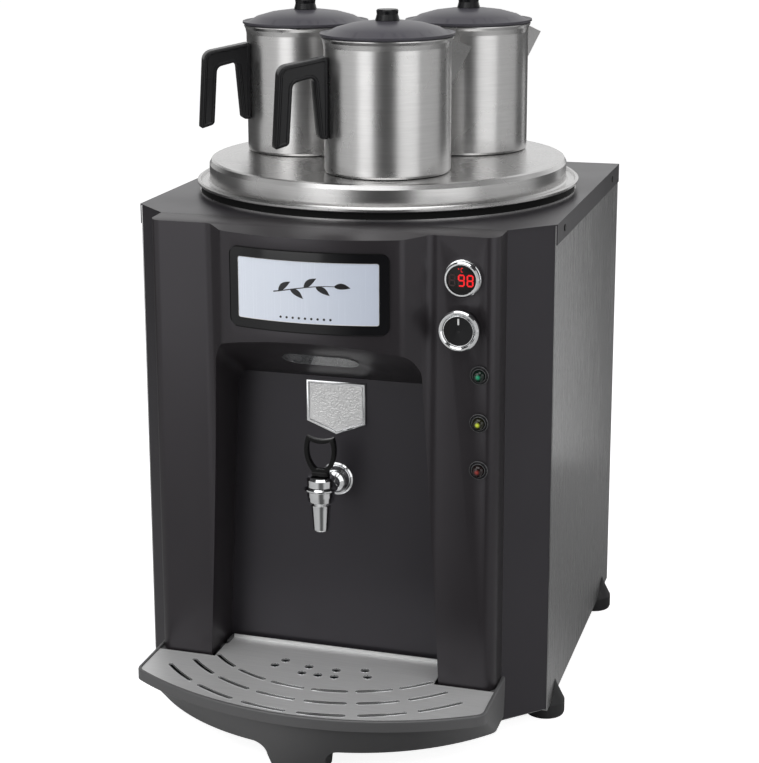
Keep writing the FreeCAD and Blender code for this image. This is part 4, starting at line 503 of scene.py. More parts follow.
# %% [markdown]
# ## Dark coated and moulded finishes
# The top cover and the bent front sheet are dark coated metal, the fascia and the tray
# are moulded plastic, and the handles are a harder black plastic. They share a fine
# pebbled grain and differ in colour, gloss and how deep the grain is.

# %% Moulded and coated finishes


def moulded(name, colour, roughness, grain_size, bump, specular=0.5, sheen=(1, 1, 1)):
    """A plastic or a coating with a fine grain and slow changes of gloss."""
    finish, tree, shader = new_finish(name, colour, 0.0, roughness,
                                      Specular_IOR_Level=specular, Specular_Tint=(*sheen, 1))
    skin = use_group(tree, mottle_group, object_place(tree), Smudge_Size=0.09,
                     Grain_Size=grain_size)
    vary(tree, skin.outputs["Smudge"], roughness - 0.05, roughness + 0.07,
         shader.inputs["Roughness"])
    lighter = tuple(c * 1.25 for c in colour)
    tint(tree, skin.outputs["Smudge"], colour, lighter, shader.inputs["Base Color"])
    raise_bump(tree, skin.outputs["Grain"], bump, GRAIN_DEPTH, shader)
    return finish


# Each call gives a name, a colour, a roughness, the size of the grain and its bump.
COOL = (0.96, 0.94, 1.0)
case_finish = moulded("dark_coating", (0.023, 0.0210, 0.0245), 0.31, 0.0009, 0.06, sheen=COOL)
dress(case_finish, *SLOTS["case_dark"])
fascia_finish = moulded("fascia_moulding", (0.021, 0.0185, 0.0205), 0.34, 0.0008, 0.10,
                        sheen=COOL)
dress(fascia_finish, *SLOTS["fascia_plastic"])
dress(moulded("tray_moulding", (0.110, 0.110, 0.112), 0.38, 0.0008, 0.12), *SLOTS["tray_plastic"])
black_finish = moulded("black_moulding", (0.006, 0.006, 0.007), 0.26, 0.0006, 0.05, specular=0.3)
dress(black_finish, *SLOTS["black_moulding"])
dome_finish = moulded("pot_lid_coating", (0.070, 0.067, 0.080), 0.36, 0.0008, 0.05)
dress(dome_finish, *SLOTS["pot_lid_dark"])
gloss_finish = moulded("frame_gloss", (0.005, 0.005, 0.006), 0.12, 0.0010, 0.02)
dress(gloss_finish, *SLOTS["frame_gloss"])
dress(moulded("foot_rubber", (0.016, 0.016, 0.017), 0.55, 0.0010, 0.30), *SLOTS["foot_rubber"])
seam_finish = moulded("seal_rubber", (0.004, 0.004, 0.004), 0.60, 0.0010, 0.20, specular=0.2)
dress(seam_finish, *SLOTS["seal_rubber"])
dress(moulded("ceramic", (0.72, 0.70, 0.64), 0.40, 0.0010, 0.10), *SLOTS["ceramic"])
dress(moulded("seat_silicone", (0.52, 0.50, 0.46), 0.45, 0.0010, 0.10), *SLOTS["seat_silicone"])
dress(moulded("insulation_wool", (0.62, 0.58, 0.48), 0.85, 0.0040, 1.0), *SLOTS["insulation"])
print("moulded finishes on", SLOTS["fascia_plastic"] + SLOTS["case_dark"])

# %% [markdown]
# ## Chrome, brass and screws
# The tap, the rings and the bezels are plated and nearly mirror-like, so a faint smudge
# in the roughness is all that they need. Brass and plain screw heads are a little duller,
# and the four screws that hold the cover are blacked.

# %% Plated and turned small parts


def plated(name, colour, roughness, bump=0.02, metallic=1.0):
    """A smooth metal with faint smudges."""
    finish, tree, shader = new_finish(name, colour, metallic, roughness)
    skin = use_group(tree, mottle_group, object_place(tree), Smudge_Size=0.02,
                     Grain_Size=0.0009)
    vary(tree, skin.outputs["Smudge"], roughness * 0.7, roughness * 1.4,
         shader.inputs["Roughness"])
    darker = tuple(c * 0.93 for c in colour)
    tint(tree, skin.outputs["Smudge"], darker, colour, shader.inputs["Base Color"])
    raise_bump(tree, skin.outputs["Grain"], bump, SKIN_DEPTH, shader)
    return finish


chrome_finish = plated("chrome", (0.88, 0.89, 0.90), 0.12)
dress(chrome_finish, *SLOTS["chrome"])
dress(plated("brass", (0.70, 0.52, 0.24), 0.24), *SLOTS["brass"])
dress(plated("screw_steel", (0.62, 0.62, 0.62), 0.26), *SLOTS["screw_steel"])
dress(plated("blacked_screws", (0.03, 0.03, 0.03), 0.35), "cover_screws")
badge_finish = plated("badge_silver", (0.98, 0.98, 0.98), 0.20, bump=0.10, metallic=0.28)
dress(badge_finish, *SLOTS["badge"])
print("plated", SLOTS["chrome"])

# %% [markdown]
# ## Lamps and lenses
# A small indicator lens is a clear coloured dome. Off, it is nearly black at its edge and
# shows its colour in the middle, where the light-emitting chip's little cup sits. A mask
# that falls off from each lens's own axis paints that colour, and also a painted glow that
# lights the middle though the lamp is off, so every lens has its own finish.

# %% Lenses


def round_mask(tree, centre, inner, outer):
    """One on an axis along Y through the centre, falling to nought at the outer radius."""
    flat = object_place(tree, centre, (1, 0, 1))
    radius = add_node(tree, "ShaderNodeVectorMath", operation="LENGTH")
    fall = add_node(tree, "ShaderNodeMapRange", interpolation_type="SMOOTHSTEP")
    fall.inputs["From Min"].default_value = inner
    fall.inputs["From Max"].default_value = outer
    fall.inputs["To Min"].default_value = 1.0
    fall.inputs["To Max"].default_value = 0.0
    tree.links.new(flat, radius.inputs[0])
    tree.links.new(radius.outputs["Value"], fall.inputs["Value"])
    return fall.outputs["Result"]


def lens(name, rim, core, solid, outer, strength):
    """A domed lens that is dark at its rim and coloured at its core, with a painted glow there.
    """
    finish, tree, shader = new_finish(name, rim, 0.0, 0.16)
    low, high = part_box(solid)
    centre = (low + high) / 2
    mask = round_mask(tree, centre, outer * 0.2, outer)
    tint(tree, mask, rim, core, shader.inputs["Base Color"])
    tint(tree, mask, (0, 0, 0), core, shader.inputs["Emission Color"])
    # The emission is a painted glow in the middle of a lamp that is off.
    shader.inputs["Emission Strength"].default_value = strength
    skin = use_group(tree, mottle_group, object_place(tree), Smudge_Size=0.004,
                     Grain_Size=0.0012)
    vary(tree, skin.outputs["Smudge"], 0.10, 0.22, shader.inputs["Roughness"])
    raise_bump(tree, skin.outputs["Grain"], 0.04, SKIN_DEPTH, shader)
    return finish


LENS_CORE = 3.0 * MM
# A painted glow of this strength lights each lens's middle, though the lamps are off.
LENS_PAINTED_GLOW = 0.6
for colour, rim, core in (("green", (0.002, 0.012, 0.007), (0.010, 0.20, 0.10)),
                          ("yellow", (0.012, 0.012, 0.003), (0.36, 0.42, 0.03)),
                          ("red", (0.010, 0.003, 0.003), (0.16, 0.022, 0.018))):
    solid = "indicator_lens_" + colour
    dress(lens("lens_" + colour, rim, core, solid, LENS_CORE, LENS_PAINTED_GLOW), solid)
print("lenses", [n for n in nodes if n.startswith("indicator_lens")])

# %% [markdown]
# ## Display, thermometer window and recess lamp
# The display is a pale blue-grey printed foil behind a glossy frame, with a faint upright
# grain and a painted glow, and its colour and glow fade darker to its right. The
# thermometer's window is nearly black glass with a faint painted glow in its middle. The
# lamp in the recess is a clear oval lens with three dull grey light modules behind it,
# which have a faint painted glow.

# %% Display foil
FOIL_PAINTED_GLOW = 0.33
low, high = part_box("display_panel")
foil, foil_tree, foil_shader = new_finish("display_foil", (0.60, 0.64, 0.71), 0.0, 0.22)
across = object_place(foil_tree, (low.x, 0, 0), (1 / (high.x - low.x), 0, 0))
apart = add_node(foil_tree, "ShaderNodeSeparateXYZ")
foil_tree.links.new(across, apart.inputs["Vector"])
# The colour and the painted glow both fade darker towards the right of the foil.
tint(foil_tree, apart.outputs["X"], (0.66, 0.70, 0.77), (0.46, 0.50, 0.58),
     foil_shader.inputs["Base Color"])
tint(foil_tree, apart.outputs["X"], (0.62, 0.66, 0.74), (0.40, 0.44, 0.52),
     foil_shader.inputs["Emission Color"])
# The foil's emission is a painted glow; the printed foil is no lamp.
foil_shader.inputs["Emission Strength"].default_value = FOIL_PAINTED_GLOW
foil_grain = use_group(foil_tree, grain_group, object_place(foil_tree, scale=(900, 900, 8)),
                       Detail=3.0)
vary(foil_tree, foil_grain.outputs["Streak"], 0.18, 0.30, foil_shader.inputs["Roughness"])
raise_bump(foil_tree, foil_grain.outputs["Height"], 0.05, SKIN_DEPTH, foil_shader)
dress(foil, "display_panel")
print("display", [round(1000 * v, 1) for v in (*low, *high)])

# %% Dark window and clear lamp
WINDOW_RADIUS = 12.0 * MM
WINDOW_PAINTED_GLOW = 0.1
MODULE_PAINTED_GLOW = 0.35
LENS_WAVE = 0.8 * MM
# The window's middle gets a faint painted glow.
window = lens("thermometer_window", (0.004, 0.004, 0.004), (0.012, 0.007, 0.006),
              "thermometer_display", WINDOW_RADIUS, WINDOW_PAINTED_GLOW)
window.node_tree.nodes["Principled BSDF"].inputs["Specular IOR Level"].default_value = 0.3
dress(window, "thermometer_display")
clear, clear_tree, clear_shader = new_finish("clear_lens", (0.42, 0.43, 0.44), 0.0, 0.16,
                                             IOR=1.45, Transmission_Weight=0.85)
clear_skin = use_group(clear_tree, mottle_group, object_place(clear_tree), Smudge_Size=0.012,
                       Grain_Size=0.0015)
vary(clear_tree, clear_skin.outputs["Smudge"], 0.05, 0.20, clear_shader.inputs["Roughness"])
raise_bump(clear_tree, clear_skin.outputs["Smudge"], 0.10, LENS_WAVE, clear_shader)
dress(clear, "recess_lamp")
led, led_tree, led_shader = new_finish("lamp_modules", (0.16, 0.16, 0.16), 0.3, 0.35)
led_skin = use_group(led_tree, mottle_group, object_place(led_tree), Smudge_Size=0.010,
                     Grain_Size=0.0010)
tint(led_tree, led_skin.outputs["Smudge"], (0.10, 0.10, 0.11), (0.24, 0.24, 0.23),
     led_shader.inputs["Base Color"])
tint(led_tree, led_skin.outputs["Smudge"], (0.10, 0.10, 0.11), (0.22, 0.22, 0.21),
     led_shader.inputs["Emission Color"])
# The modules' emission is a faint painted glow.
led_shader.inputs["Emission Strength"].default_value = MODULE_PAINTED_GLOW
raise_bump(led_tree, led_skin.outputs["Grain"], 0.2, GRAIN_DEPTH, led_shader)
dress(led, "recess_lamp_leds")
print("finishes so far", len(bpy.data.materials))

# %% [markdown]
# ## Helpers for modelling by hand
# The fine pieces are made as a modeller would: a primitive at its true size and place,
# then edit mode, with faces and edges chosen by where they are. These few helpers select
# one object, open it, choose, and close it again. At the end each piece gets its finish
# and the body that it moves with.

# %% Select, edit and settle


def only(piece):
    """Select one object alone and make it the active one."""
    deselect_all()
    piece.select_set(True)
    bpy.context.view_layer.objects.active = piece


def settle(name):
    """Put the new object's place, turn and size into its mesh, and name it."""
    piece = bpy.context.object
    only(piece)
    bpy.ops.object.transform_apply(location=True, rotation=True, scale=True)
    piece.name = name
    piece.data.name = name
    return piece


def open_up(piece, kind):
    """Enter edit mode with nothing selected."""
    only(piece)
    bpy.ops.object.mode_set(mode="EDIT")
    bpy.ops.mesh.select_mode(type=kind)
    bpy.ops.mesh.select_all(action="DESELECT")


def choose(piece, parts, test):
    """Select the verts, edges or faces whose place passes a test, and nothing else."""
    bpy.ops.mesh.select_all(action="DESELECT")
    shape = bmesh.from_edit_mesh(piece.data)
    for part in getattr(shape, parts):
        if test(part):
            part.select_set(True)
    bmesh.update_edit_mesh(piece.data)


def close_up():
    """Leave edit mode."""
    bpy.ops.object.mode_set(mode="OBJECT")


def apply_modifiers(piece):
    """Turn the live modifiers into mesh."""
    only(piece)
    for modifier in list(piece.modifiers):
        bpy.ops.object.modifier_apply(modifier=modifier.name)


def round_edges(piece, width, segments, angle=35):
    """Bevel every edge that is sharper than an angle."""
    bevel = piece.modifiers.new("round", "BEVEL")
    bevel.width = width
    bevel.segments = segments
    bevel.limit_method = "ANGLE"
    bevel.angle_limit = math.radians(angle)
    apply_modifiers(piece)


def smooth(piece, angle=30):
    """Smooth shading that stops at sharp edges."""
    only(piece)
    bpy.ops.object.shade_smooth_by_angle(angle=math.radians(angle))


def hand_over(piece, finish, body, slot, *replaced):
    """Give a finished piece its finish and its body; its slot argument is not used."""
    piece.data.materials.clear()
    piece.data.materials.append(finish)
    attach(piece, body)
    if replaced:
        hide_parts(*replaced)
    print("piece", piece.name, "rides on", body, "with", len(piece.data.polygons), "faces")


def twin(piece, name, place=(0, 0, 0), turned=0.0, size=1.0):
    """A copy with its own mesh, turned about Y and moved, with its place in its mesh."""
    copy = piece.copy()
    copy.data = piece.data.copy()
    bpy.context.collection.objects.link(copy)
    copy.location = place
    copy.rotation_euler = (0, math.radians(turned), 0)
    copy.scale = (size, size, size)
    only(copy)
    return settle(name)


def joined(pieces, name):
    """Several objects made one."""
    only(pieces[0])
    for piece in pieces:
        piece.select_set(True)
    bpy.ops.object.join()
    whole = bpy.context.object
    whole.name = name
    whole.data.name = name
    return whole


print("helpers ready for", len(nodes), "solids")

# %% [markdown]
# ## Merged copies of solids
# A solid comes from the frame as loose triangles, and it is never changed. Where a piece
# needs rounder edges than its solid, its copy is merged, its flat faces are made whole,
# and its sharp edges are bevelled. A bead that follows an edge starts the same way: all
# but the wanted edges are deleted, and what is left becomes a thin round curve.

# %% Copy a solid, or only its edges
DOUBLES_WITHIN = 0.02 * MM
FLAT_WITHIN = math.radians(1.0)
FAR = 10.0


def merged_copy(solid, name):
    """A copy of a solid with its doubles merged and its flat faces whole."""
    piece = bpy.data.objects.new(name, nodes[solid].data.copy())
    bpy.context.collection.objects.link(piece)
    only(piece)
    bpy.ops.mesh.customdata_custom_splitnormals_clear()
    open_up(piece, "VERT")
    bpy.ops.mesh.select_all(action="SELECT")
    bpy.ops.mesh.remove_doubles(threshold=DOUBLES_WITHIN)
    bpy.ops.mesh.dissolve_limited(angle_limit=FLAT_WITHIN)
    close_up()
    piece.data.name = name
    return piece


def edge_bead(solid, name, test, radius, longest=FAR):
    """A thin round bead along a solid's edges that pass a test, but no run over the longest."""
    piece = merged_copy(solid, name)
    open_up(piece, "EDGE")
    choose(piece, "edges", test)
    shape = bmesh.from_edit_mesh(piece.data)
    wanted = {e for e in shape.edges if e.select}
    while wanted:
        loop = [wanted.pop()]
        for edge in loop:
            near = [e for v in edge.verts for e in v.link_edges if e in wanted]
            wanted.difference_update(near)
            loop.extend(near)
        if sum(e.calc_length() for e in loop) > longest:
            for edge in loop:
                edge.select_set(False)
    bmesh.update_edit_mesh(piece.data)
    bpy.ops.mesh.select_all(action="INVERT")
    bpy.ops.mesh.delete(type="EDGE")
    close_up()
    only(piece)
    bpy.ops.object.convert(target="CURVE")
    curve = bpy.context.object.data
    curve.bevel_depth = radius
    curve.bevel_resolution = 1
    bpy.ops.object.convert(target="MESH")
    piece = settle(name)
    smooth(piece, 60)
    return piece


print("copies merge points within", DOUBLES_WITHIN / MM, "mm")

# %% [markdown]
# ## The badge
# The badge is a cast plate with a polished raised border round a hammered field. A cube
# is cut to its five-sided outline with two bisects, inset for the border and bevelled.
# The field is a fine grid with real relief, because a bump alone would leave it flat.

# %% The badge's border
low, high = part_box("badge_plate")
BADGE_BORDER = 2.4 * MM
BADGE_SINK = 1.2 * MM
BADGE_WALL = 0.3 * MM
BADGE_ROUND = 0.35 * MM
BADGE_POINT = 11.5 * MM
slope = BADGE_POINT / high.x
deselect_all()
bpy.ops.mesh.primitive_cube_add(size=1, location=(low + high) / 2, scale=high - low)
badge = settle("badge_relief")
open_up(badge, "FACE")
for side in (1, -1):
    bpy.ops.mesh.select_all(action="SELECT")
    bpy.ops.mesh.bisect(plane_co=(0, 0, low.z), plane_no=(side * slope, 0, -1),
                        use_fill=True, clear_outer=True)
choose(badge, "faces", lambda f: f.normal.y < -0.9)
bpy.ops.mesh.inset(thickness=BADGE_BORDER, depth=0)
bpy.ops.mesh.inset(thickness=BADGE_WALL, depth=-BADGE_SINK)
close_up()
round_edges(badge, BADGE_ROUND, 2)
print("badge blank", [round(1000 * v, 1) for v in badge.dimensions])

# %% The hammered field
FIELD_GAP = 3.3 * MM
FIELD_BEHIND = 0.45 * MM
FIELD_THICK = 0.9 * MM
DENT_SIZE = 1.3 * MM
DENT_DEPTH = 0.8 * MM
deselect_all()
bpy.ops.mesh.primitive_grid_add(x_subdivisions=120, y_subdivisions=106, size=1,
                                location=(0, low.y + FIELD_BEHIND, (low.z + high.z) / 2),
                                rotation=(math.pi / 2, 0, 0))
bpy.context.object.scale = (2 * (high.x - FIELD_GAP), high.z - low.z - 2 * FIELD_GAP, 1)
field = settle("badge_field")
open_up(field, "FACE")
for side in (1, -1):
    bpy.ops.mesh.select_all(action="SELECT")
    bpy.ops.mesh.bisect(plane_co=(0, 0, low.z + 1.06 * FIELD_GAP),
                        plane_no=(side * slope, 0, -1), clear_outer=True)
close_up()
dents = bpy.data.textures.new("dents", "CLOUDS")
dents.noise_scale = DENT_SIZE
dents.noise_depth = 2
relief = field.modifiers.new("dents", "DISPLACE")
relief.texture = dents
relief.strength = DENT_DEPTH
relief.mid_level = 0.5
thick = field.modifiers.new("thick", "SOLIDIFY")
thick.thickness = FIELD_THICK
thick.offset = -1
apply_modifiers(field)
smooth(field, 50)
hand_over(field, badge_finish, "machine", "badge")
smooth(badge)
hand_over(badge, chrome_finish, "machine", "badge", "badge_plate")

# %% [markdown]
# ## The figures of the thermometer
# A seven-segment figure is one pointed bar, laid seven times. The bar is a thin cube
# with its four end edges bevelled. The lit bars make a 98, and the unlit ones stay as
# faint ghosts, as on a real light-emitting display.

# %% One bar and its seven places
FIGURE_HALF = 4.95 * MM
FIGURE_WIDE = 5.0 * MM
FIGURE_PITCH = 8.5 * MM
BAR_LONG = 4.7 * MM
BAR_THICK = 1.45 * MM
BAR_DEEP = 0.2 * MM
glass_low, glass_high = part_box("thermometer_display")
glass = (glass_low + glass_high) / 2
FIGURE_Y = glass_low.y - BAR_DEEP / 4
deselect_all()
bpy.ops.mesh.primitive_cube_add(size=1, scale=(BAR_LONG, BAR_DEEP, BAR_THICK))
bar = settle("figure_bar")
open_up(bar, "EDGE")
choose(bar, "edges", lambda e: abs(e.verts[0].co.y - e.verts[1].co.y) > BAR_DEEP / 2)
bpy.ops.mesh.bevel(offset=BAR_THICK * 0.46, segments=1, affect="EDGES")
close_up()
SEGMENTS = {"a": (0, 1, 0), "b": (0.5, 0.5, 90), "c": (0.5, -0.5, 90), "d": (0, -1, 0),
            "e": (-0.5, -0.5, 90), "f": (-0.5, 0.5, 90), "g": (0, 0, 0)}
print("bar", [round(1000 * v, 2) for v in bar.dimensions])

# %% Lay the figures
FIGURE_DROP = 0.7 * MM


def lay_figure(offset, lit, drop=FIGURE_DROP, size=1.0, shown="abcdefg"):
    """The bars of one figure, as those that are lit and those that are not."""
    bright = []
    ghost = []
    for key in shown:
        across, up, turned = SEGMENTS[key]
        place = (glass.x + offset + across * FIGURE_WIDE * size, FIGURE_Y,
                 glass.z - drop + up * FIGURE_HALF * size)
        piece = twin(bar, "bar", place, turned, size)
        (bright if key in lit else ghost).append(piece)
    return bright, ghost


bright_bars = []
ghost_bars = []
for offset, lit in ((-FIGURE_PITCH, ""), (0.0, "abcdfg"),
                    (FIGURE_PITCH - 0.4 * MM, "abcdefg")):
    bright, ghost = lay_figure(offset, lit)
    bright_bars += bright
    ghost_bars += ghost
bright_bars += lay_figure(0.6 * MM, "aefd", -9.0 * MM, 0.36, "aefd")[0]
bright_bars += lay_figure(-2.6 * MM, "abgf", -9.4 * MM, 0.20, "abgf")[0]
bpy.data.objects.remove(bar)
print(len(bright_bars), "lit bars and", len(ghost_bars), "unlit")

# %% Light the figures
lit_finish, lit_tree, lit_shader = new_finish("lit_figures", (0.30, 0.004, 0.006), 0.0, 0.4)
lit_skin = use_group(lit_tree, mottle_group, object_place(lit_tree), Smudge_Size=0.003)
tint(lit_tree, lit_skin.outputs["Smudge"], (0.66, 0.003, 0.006), (0.95, 0.012, 0.016),
     lit_shader.inputs["Emission Color"])
lit_shader.inputs["Emission Strength"].default_value = 1.0
unlit_finish = moulded("unlit_figures", (0.030, 0.014, 0.014), 0.4, 0.0010, 0.05)
hand_over(joined(bright_bars, "thermometer_figures"), lit_finish, "machine", "lens_red")
hand_over(joined(ghost_bars, "thermometer_ghosts"), unlit_finish, "machine", "thermo_display")

# %% [markdown]
# ## The knob's mark and its inner ring
# A white line on the knob's face shows where it points, and a second, finer chrome ring
# lies inside the first. The line is a thin bar with rounded ends. The ring is a small
# circle that is spun round the knob's axis.

# %% Knob mark
ring_low, ring_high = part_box("knob_ring")
knob = (ring_low + ring_high) / 2
FACE_Y = ring_low.y + 1.75 * MM
MARK_UP = 8.8 * MM
MARK_WIDE = 1.6 * MM
MARK_DEEP = 0.6 * MM
MARK_LONG = 6.0 * MM
MARK_ROUND = 0.5 * MM
deselect_all()
bpy.ops.mesh.primitive_cube_add(size=1, location=(knob.x, FACE_Y, knob.z + MARK_UP),
                                scale=(MARK_WIDE, MARK_DEEP, MARK_LONG))
mark = settle("knob_mark")
open_up(mark, "EDGE")
choose(mark, "edges", lambda e: abs(e.verts[0].co.y - e.verts[1].co.y) > MARK_DEEP / 2)
bpy.ops.mesh.bevel(offset=MARK_ROUND, segments=3, affect="EDGES")
close_up()
smooth(mark)
white_finish = moulded("white_mark", (0.75, 0.75, 0.74), 0.35, 0.0006, 0.03)
hand_over(mark, white_finish, "control_knob", "lamp_led")

# %% A ring by spinning


def spun_ring(name, centre, radius, thick, deep, sides=12, steps=72):
    """A closed ring round an axis along Y, from an oval of the given half sizes."""
    deselect_all()
    bpy.ops.mesh.primitive_circle_add(vertices=sides, radius=1,
                                      location=(centre[0] + radius, centre[1], centre[2]))
    bpy.context.object.scale = (thick, deep, 1)
    ring = settle(name)
    open_up(ring, "VERT")
    bpy.ops.mesh.select_all(action="SELECT")
    bpy.ops.mesh.spin(steps=steps, angle=2 * math.pi, center=centre, axis=(0, 1, 0))
    bpy.ops.mesh.select_all(action="SELECT")
    bpy.ops.mesh.remove_doubles(threshold=DOUBLES_WITHIN / 2)
    bpy.ops.mesh.normals_make_consistent(inside=False)
    close_up()
    smooth(ring, 60)
    return ring


inner_ring = spun_ring("knob_inner_ring", (knob.x, ring_low.y + 1.5 * MM, knob.z),
                       14.0 * MM, 0.55 * MM, 0.7 * MM)
hand_over(inner_ring, chrome_finish, "control_knob", "chrome")

# %% [markdown]
# ## Rims of the lamps
# Each indicator lamp has a black bezel whose outer edge and inner lip are rounded and
# catch a thin line of light. Both are spun like the knob's ring, once, and copied down
# to the other two lamps. They are mid grey rather than black: a painted highlight for
# that thin line of light.

# %% Lamp rims
lamp_low, lamp_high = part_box("indicator_lens_green")
top_lamp = (lamp_low + lamp_high) / 2
BEZEL_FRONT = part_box("indicator_bezels")[0].y
outer_rim = spun_ring("lamp_rim", (top_lamp.x, BEZEL_FRONT + 1.1 * MM, top_lamp.z),
                      8.5 * MM, 0.45 * MM, 0.8 * MM)
inner_rim = spun_ring("lamp_lip", (top_lamp.x, BEZEL_FRONT + 0.1 * MM, top_lamp.z),
                      6.2 * MM, 0.45 * MM, 0.6 * MM)
rims = [outer_rim, inner_rim]
for colour in ("yellow", "red"):
    below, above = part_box("indicator_lens_" + colour)
    down = (below.z + above.z) / 2 - top_lamp.z
    rims += [twin(outer_rim, "rim", (0, 0, down)), twin(inner_rim, "lip", (0, 0, down))]
# Mid grey, lighter than the black bezel, is a painted highlight along its rounded edges.
rim_highlight_finish = moulded("rim_gloss", (0.085, 0.085, 0.088), 0.22, 0.0006, 0.03)
hand_over(joined(rims, "lamp_rims"), rim_highlight_finish, "machine", "black_moulding")
print("rims at", [round(1000 * v, 1) for v in top_lamp])

# %% [markdown]
# ## The display's border and print
# A thin bright line runs round the foil where it meets the frame, and a dark seam runs
# round the frame. Both follow edges of the solids. The print on the foil is a plain
# design of this lesson's own: a sprig of five leaves above a row of dots, in black.

# %% Edges to follow
foil_low, foil_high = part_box("display_panel")
frame_low, frame_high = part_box("display_frame")
FRONT_REACH = 60 * MM
FRAME_LIP = 4 * MM
BORDER_RADIUS = 0.35 * MM
SEAM_RADIUS = 0.45 * MM
print("display frame", [round(1000 * v, 1) for v in frame_high - frame_low])


def faces_front(edge):
    """True for an edge between a face that looks forward and one that looks sideways."""
    looks = [f.normal.y for f in edge.link_faces]
    return len(looks) == 2 and min(looks) < -0.8 and max(looks) > -0.4


def on_foil(edge):
    """True for a front edge of the foil's own outline."""
    return faces_front(edge) and all(
        abs(v.co.x) < foil_high.x and v.co.y < foil_low.y + FRONT_REACH for v in edge.verts)


def round_frame(edge):
    """True for a front edge of the frame that lies outside the foil."""
    place = edge.verts[0].co
    return faces_front(edge) and (abs(place.x) > foil_high.x + FRAME_LIP
                                  or place.z > foil_high.z + FRAME_LIP
                                  or place.z < foil_low.z - FRAME_LIP)


# %% Border and seam
border = edge_bead("display_panel", "display_border", on_foil, BORDER_RADIUS)
hand_over(border, white_finish, "machine", "display_lit")
seam = edge_bead("display_frame", "display_seam", round_frame, SEAM_RADIUS)
hand_over(seam, seam_finish, "machine", "seal_rubber")

# %% One leaf
LEAF_LONG = 15.0 * MM
LEAF_WIDE = 5.6 * MM
LEAF_CURL = 0.9 * MM
LEAF_STEPS = 14
PRINT_Y = foil_low.y - 4.0 * MM


def flat_strip(name, long, wide, columns):
    """A flat strip in front of the foil that faces forward."""
    deselect_all()
    bpy.ops.mesh.primitive_grid_add(x_subdivisions=columns, y_subdivisions=2, size=1,
                                    rotation=(math.pi / 2, 0, 0))
    bpy.context.object.scale = (long, wide, 1)
    return settle(name)


def shape_columns(strip, long, columns, width_at, height_at):
    """Scale and lift each column of a strip by its place along the strip."""
    open_up(strip, "VERT")
    for i in range(columns + 1):
        x = -long / 2 + i * long / columns
        choose(strip, "verts", lambda v: abs(v.co.x - x) < long / columns / 4)
        bpy.ops.transform.resize(value=(1, 1, width_at(i / columns)), center_override=(x, 0, 0))
        bpy.ops.transform.translate(value=(0, 0, height_at(i / columns)))
    close_up()


leaf = flat_strip("leaf", LEAF_LONG, LEAF_WIDE, LEAF_STEPS)
shape_columns(leaf, LEAF_LONG, LEAF_STEPS,
              lambda t: max(0.04, math.sin(math.pi * t ** 0.8) ** 0.9),
              lambda t: LEAF_CURL * math.sin(math.pi * t))
print("leaf", [round(1000 * v, 1) for v in leaf.dimensions])

# %% The sprig and the dots
STEM_LONG = 62.0 * MM
STEM_THICK = 1.0 * MM
STEM_WAVE = 5 * MM
STEM_STEPS = 40
STEM_MID = (foil_low.z + foil_high.z) / 2 + 2.0 * MM
LEAVES = ((-20, 2.8, -38), (-8, -3.6, 34), (5, 7.2, -38), (17, 0.0, 30), (35, 4.4, 4))
DOT_RADIUS = 1.15 * MM
DOT_PITCH = 6.0 * MM
DOT_UP = 9.0 * MM
PRINT_LIFT = 0.10 * MM
stem = flat_strip("stem", STEM_LONG, STEM_THICK, STEM_STEPS)
shape_columns(stem, STEM_LONG, STEM_STEPS, lambda t: 1.15 - 0.6 * t,
              lambda t: STEM_WAVE * math.sin(2.4 * t - 0.6))
parts = [twin(stem, "stem_laid", (0, PRINT_Y, STEM_MID))]
for x, z, turned in LEAVES:
    parts.append(twin(leaf, "leaf_laid", (x * MM, PRINT_Y, STEM_MID + z * MM), turned))
deselect_all()
bpy.ops.mesh.primitive_circle_add(vertices=20, radius=DOT_RADIUS, fill_type="TRIFAN",
                                  rotation=(math.pi / 2, 0, 0))
dot = settle("dot")
for i in range(9):
    parts.append(twin(dot, "dot_laid", ((i - 4) * DOT_PITCH, PRINT_Y, foil_low.z + DOT_UP)))
for spare in (stem, leaf, dot):
    bpy.data.objects.remove(spare)
sprig = joined(parts, "display_print")
lay = sprig.modifiers.new("lay", "SHRINKWRAP")
lay.target = nodes["display_panel"]
lay.wrap_method = "PROJECT"
lay.use_project_y = True
lay.use_positive_direction = True
lay.use_negative_direction = False
lay.wrap_mode = "ABOVE_SURFACE"
lay.offset = PRINT_LIFT
apply_modifiers(sprig)
ink = moulded("printed_ink", (0.010, 0.010, 0.012), 0.35, 0.0008, 0.03)
hand_over(sprig, ink, "machine", "frame_gloss")
print("print", [round(1000 * v, 1) for v in sprig.dimensions])

# %% [markdown]
# ## Rounded handles
# The pots' handles are moulded, so no edge of them is sharp. Their solids keep the true
# outline, and merged copies with bevelled edges stand for them. The two flat sides of
# each handle are inset and sunk a little.

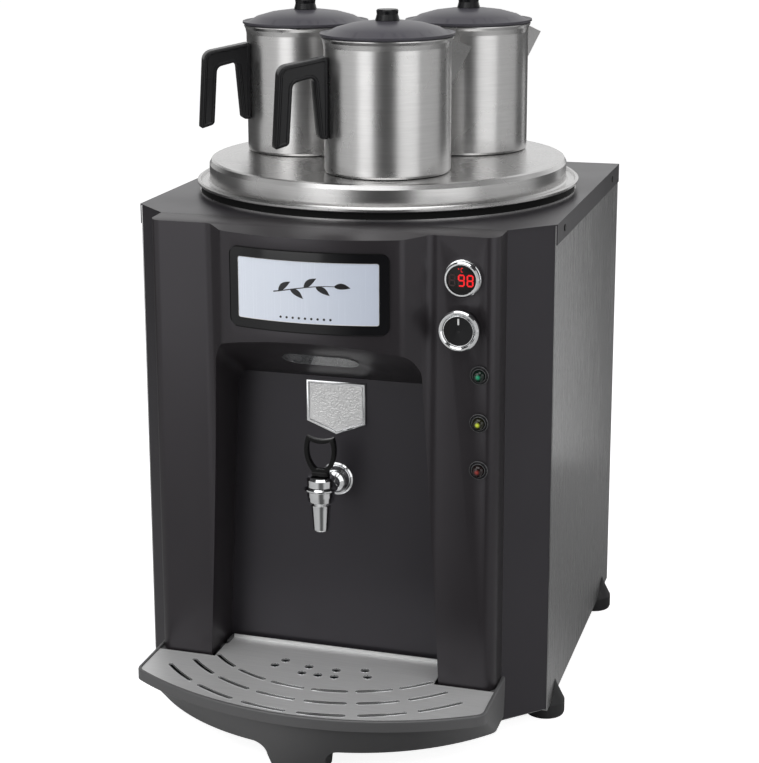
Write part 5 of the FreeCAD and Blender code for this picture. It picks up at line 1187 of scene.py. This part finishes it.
# %% Handles
HANDLE_ROUND = 2.6 * MM
PANEL_BORDER = 1.2 * MM
PANEL_WALL = 0.9 * MM
PANEL_SINK = 1.1 * MM
for which in POTS:
    solid = "pot_%s_handle" % which
    handle = merged_copy(solid, "handle_" + which)
    round_edges(handle, HANDLE_ROUND, 4, 40)
    open_up(handle, "FACE")
    widest = max(f.calc_area() for f in bmesh.from_edit_mesh(handle.data).faces)
    choose(handle, "faces", lambda f: f.calc_area() > 0.8 * widest)
    bpy.ops.mesh.inset(thickness=PANEL_BORDER, depth=0)
    bpy.ops.mesh.inset(thickness=PANEL_WALL, depth=-PANEL_SINK)
    close_up()
    smooth(handle, 40)
    hand_over(handle, black_finish, "pot_" + which, "black_moulding", solid)

# %% [markdown]
# ## Smooth lids and a glossy lever
# The pots' lids are pressed domes, so merged copies of them are shaded smooth across the
# rings of their solids. The tap's lever is glossier than the handles, so that its loop
# catches the light, and its edges are rounded in the same way.

# %% Pot lids and lever
LEVER_ROUND = 1.3 * MM
for which in POTS:
    solid = "pot_%s_lid" % which
    cover = merged_copy(solid, "dome_" + which)
    smooth(cover, 60)
    hand_over(cover, dome_finish, "pot_%s_cover" % which, "pot_lid_dark", solid)
lever_finish = moulded("lever_gloss", (0.004, 0.004, 0.004), 0.14, 0.0006, 0.03,
                       specular=0.22)
lever = merged_copy("tap_lever", "lever_rounded")
round_edges(lever, LEVER_ROUND, 3, 40)
smooth(lever, 40)
hand_over(lever, lever_finish, "tap_lever_body", "black_moulding", "tap_lever")

# %% [markdown]
# ## Softer edges on the fascia
# The fascia is one large moulding, and no edge of it is sharp either. Its merged copy has
# every sharp edge rounded a little, which draws the soft upright lines of light on it.

# %% Fascia
FASCIA_ROUND = 2.2 * MM
fascia = merged_copy("front_fascia", "fascia_rounded")
round_edges(fascia, FASCIA_ROUND, 3, 40)
smooth(fascia, 35)
hand_over(fascia, fascia_finish, "machine", "fascia_plastic", "front_fascia")

# %% [markdown]
# ## Pressed lips of the drain slots
# The slots and holes of the drip grid are pressed, so each has a rounded lip that draws
# a bright line. The lips are beads on the solid's own edges, and the long outline of the
# plate is left out by its length.

# %% Slot lips
grid_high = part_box("drip_grid")[1].z
LIP_RADIUS = 0.35 * MM
LONGEST_SLOT = 0.15
print("grid top at", round(1000 * grid_high, 1))


def top_rim(edge):
    """True for an edge between the plate's top and an upright wall."""
    looks = [f.normal.z for f in edge.link_faces]
    return len(looks) == 2 and max(looks) > 0.9 and abs(min(looks)) < 0.3


lips = edge_bead("drip_grid", "slot_lips", top_rim, LIP_RADIUS, longest=LONGEST_SLOT)
hand_over(lips, chrome_finish, "grid", "grid_steel")
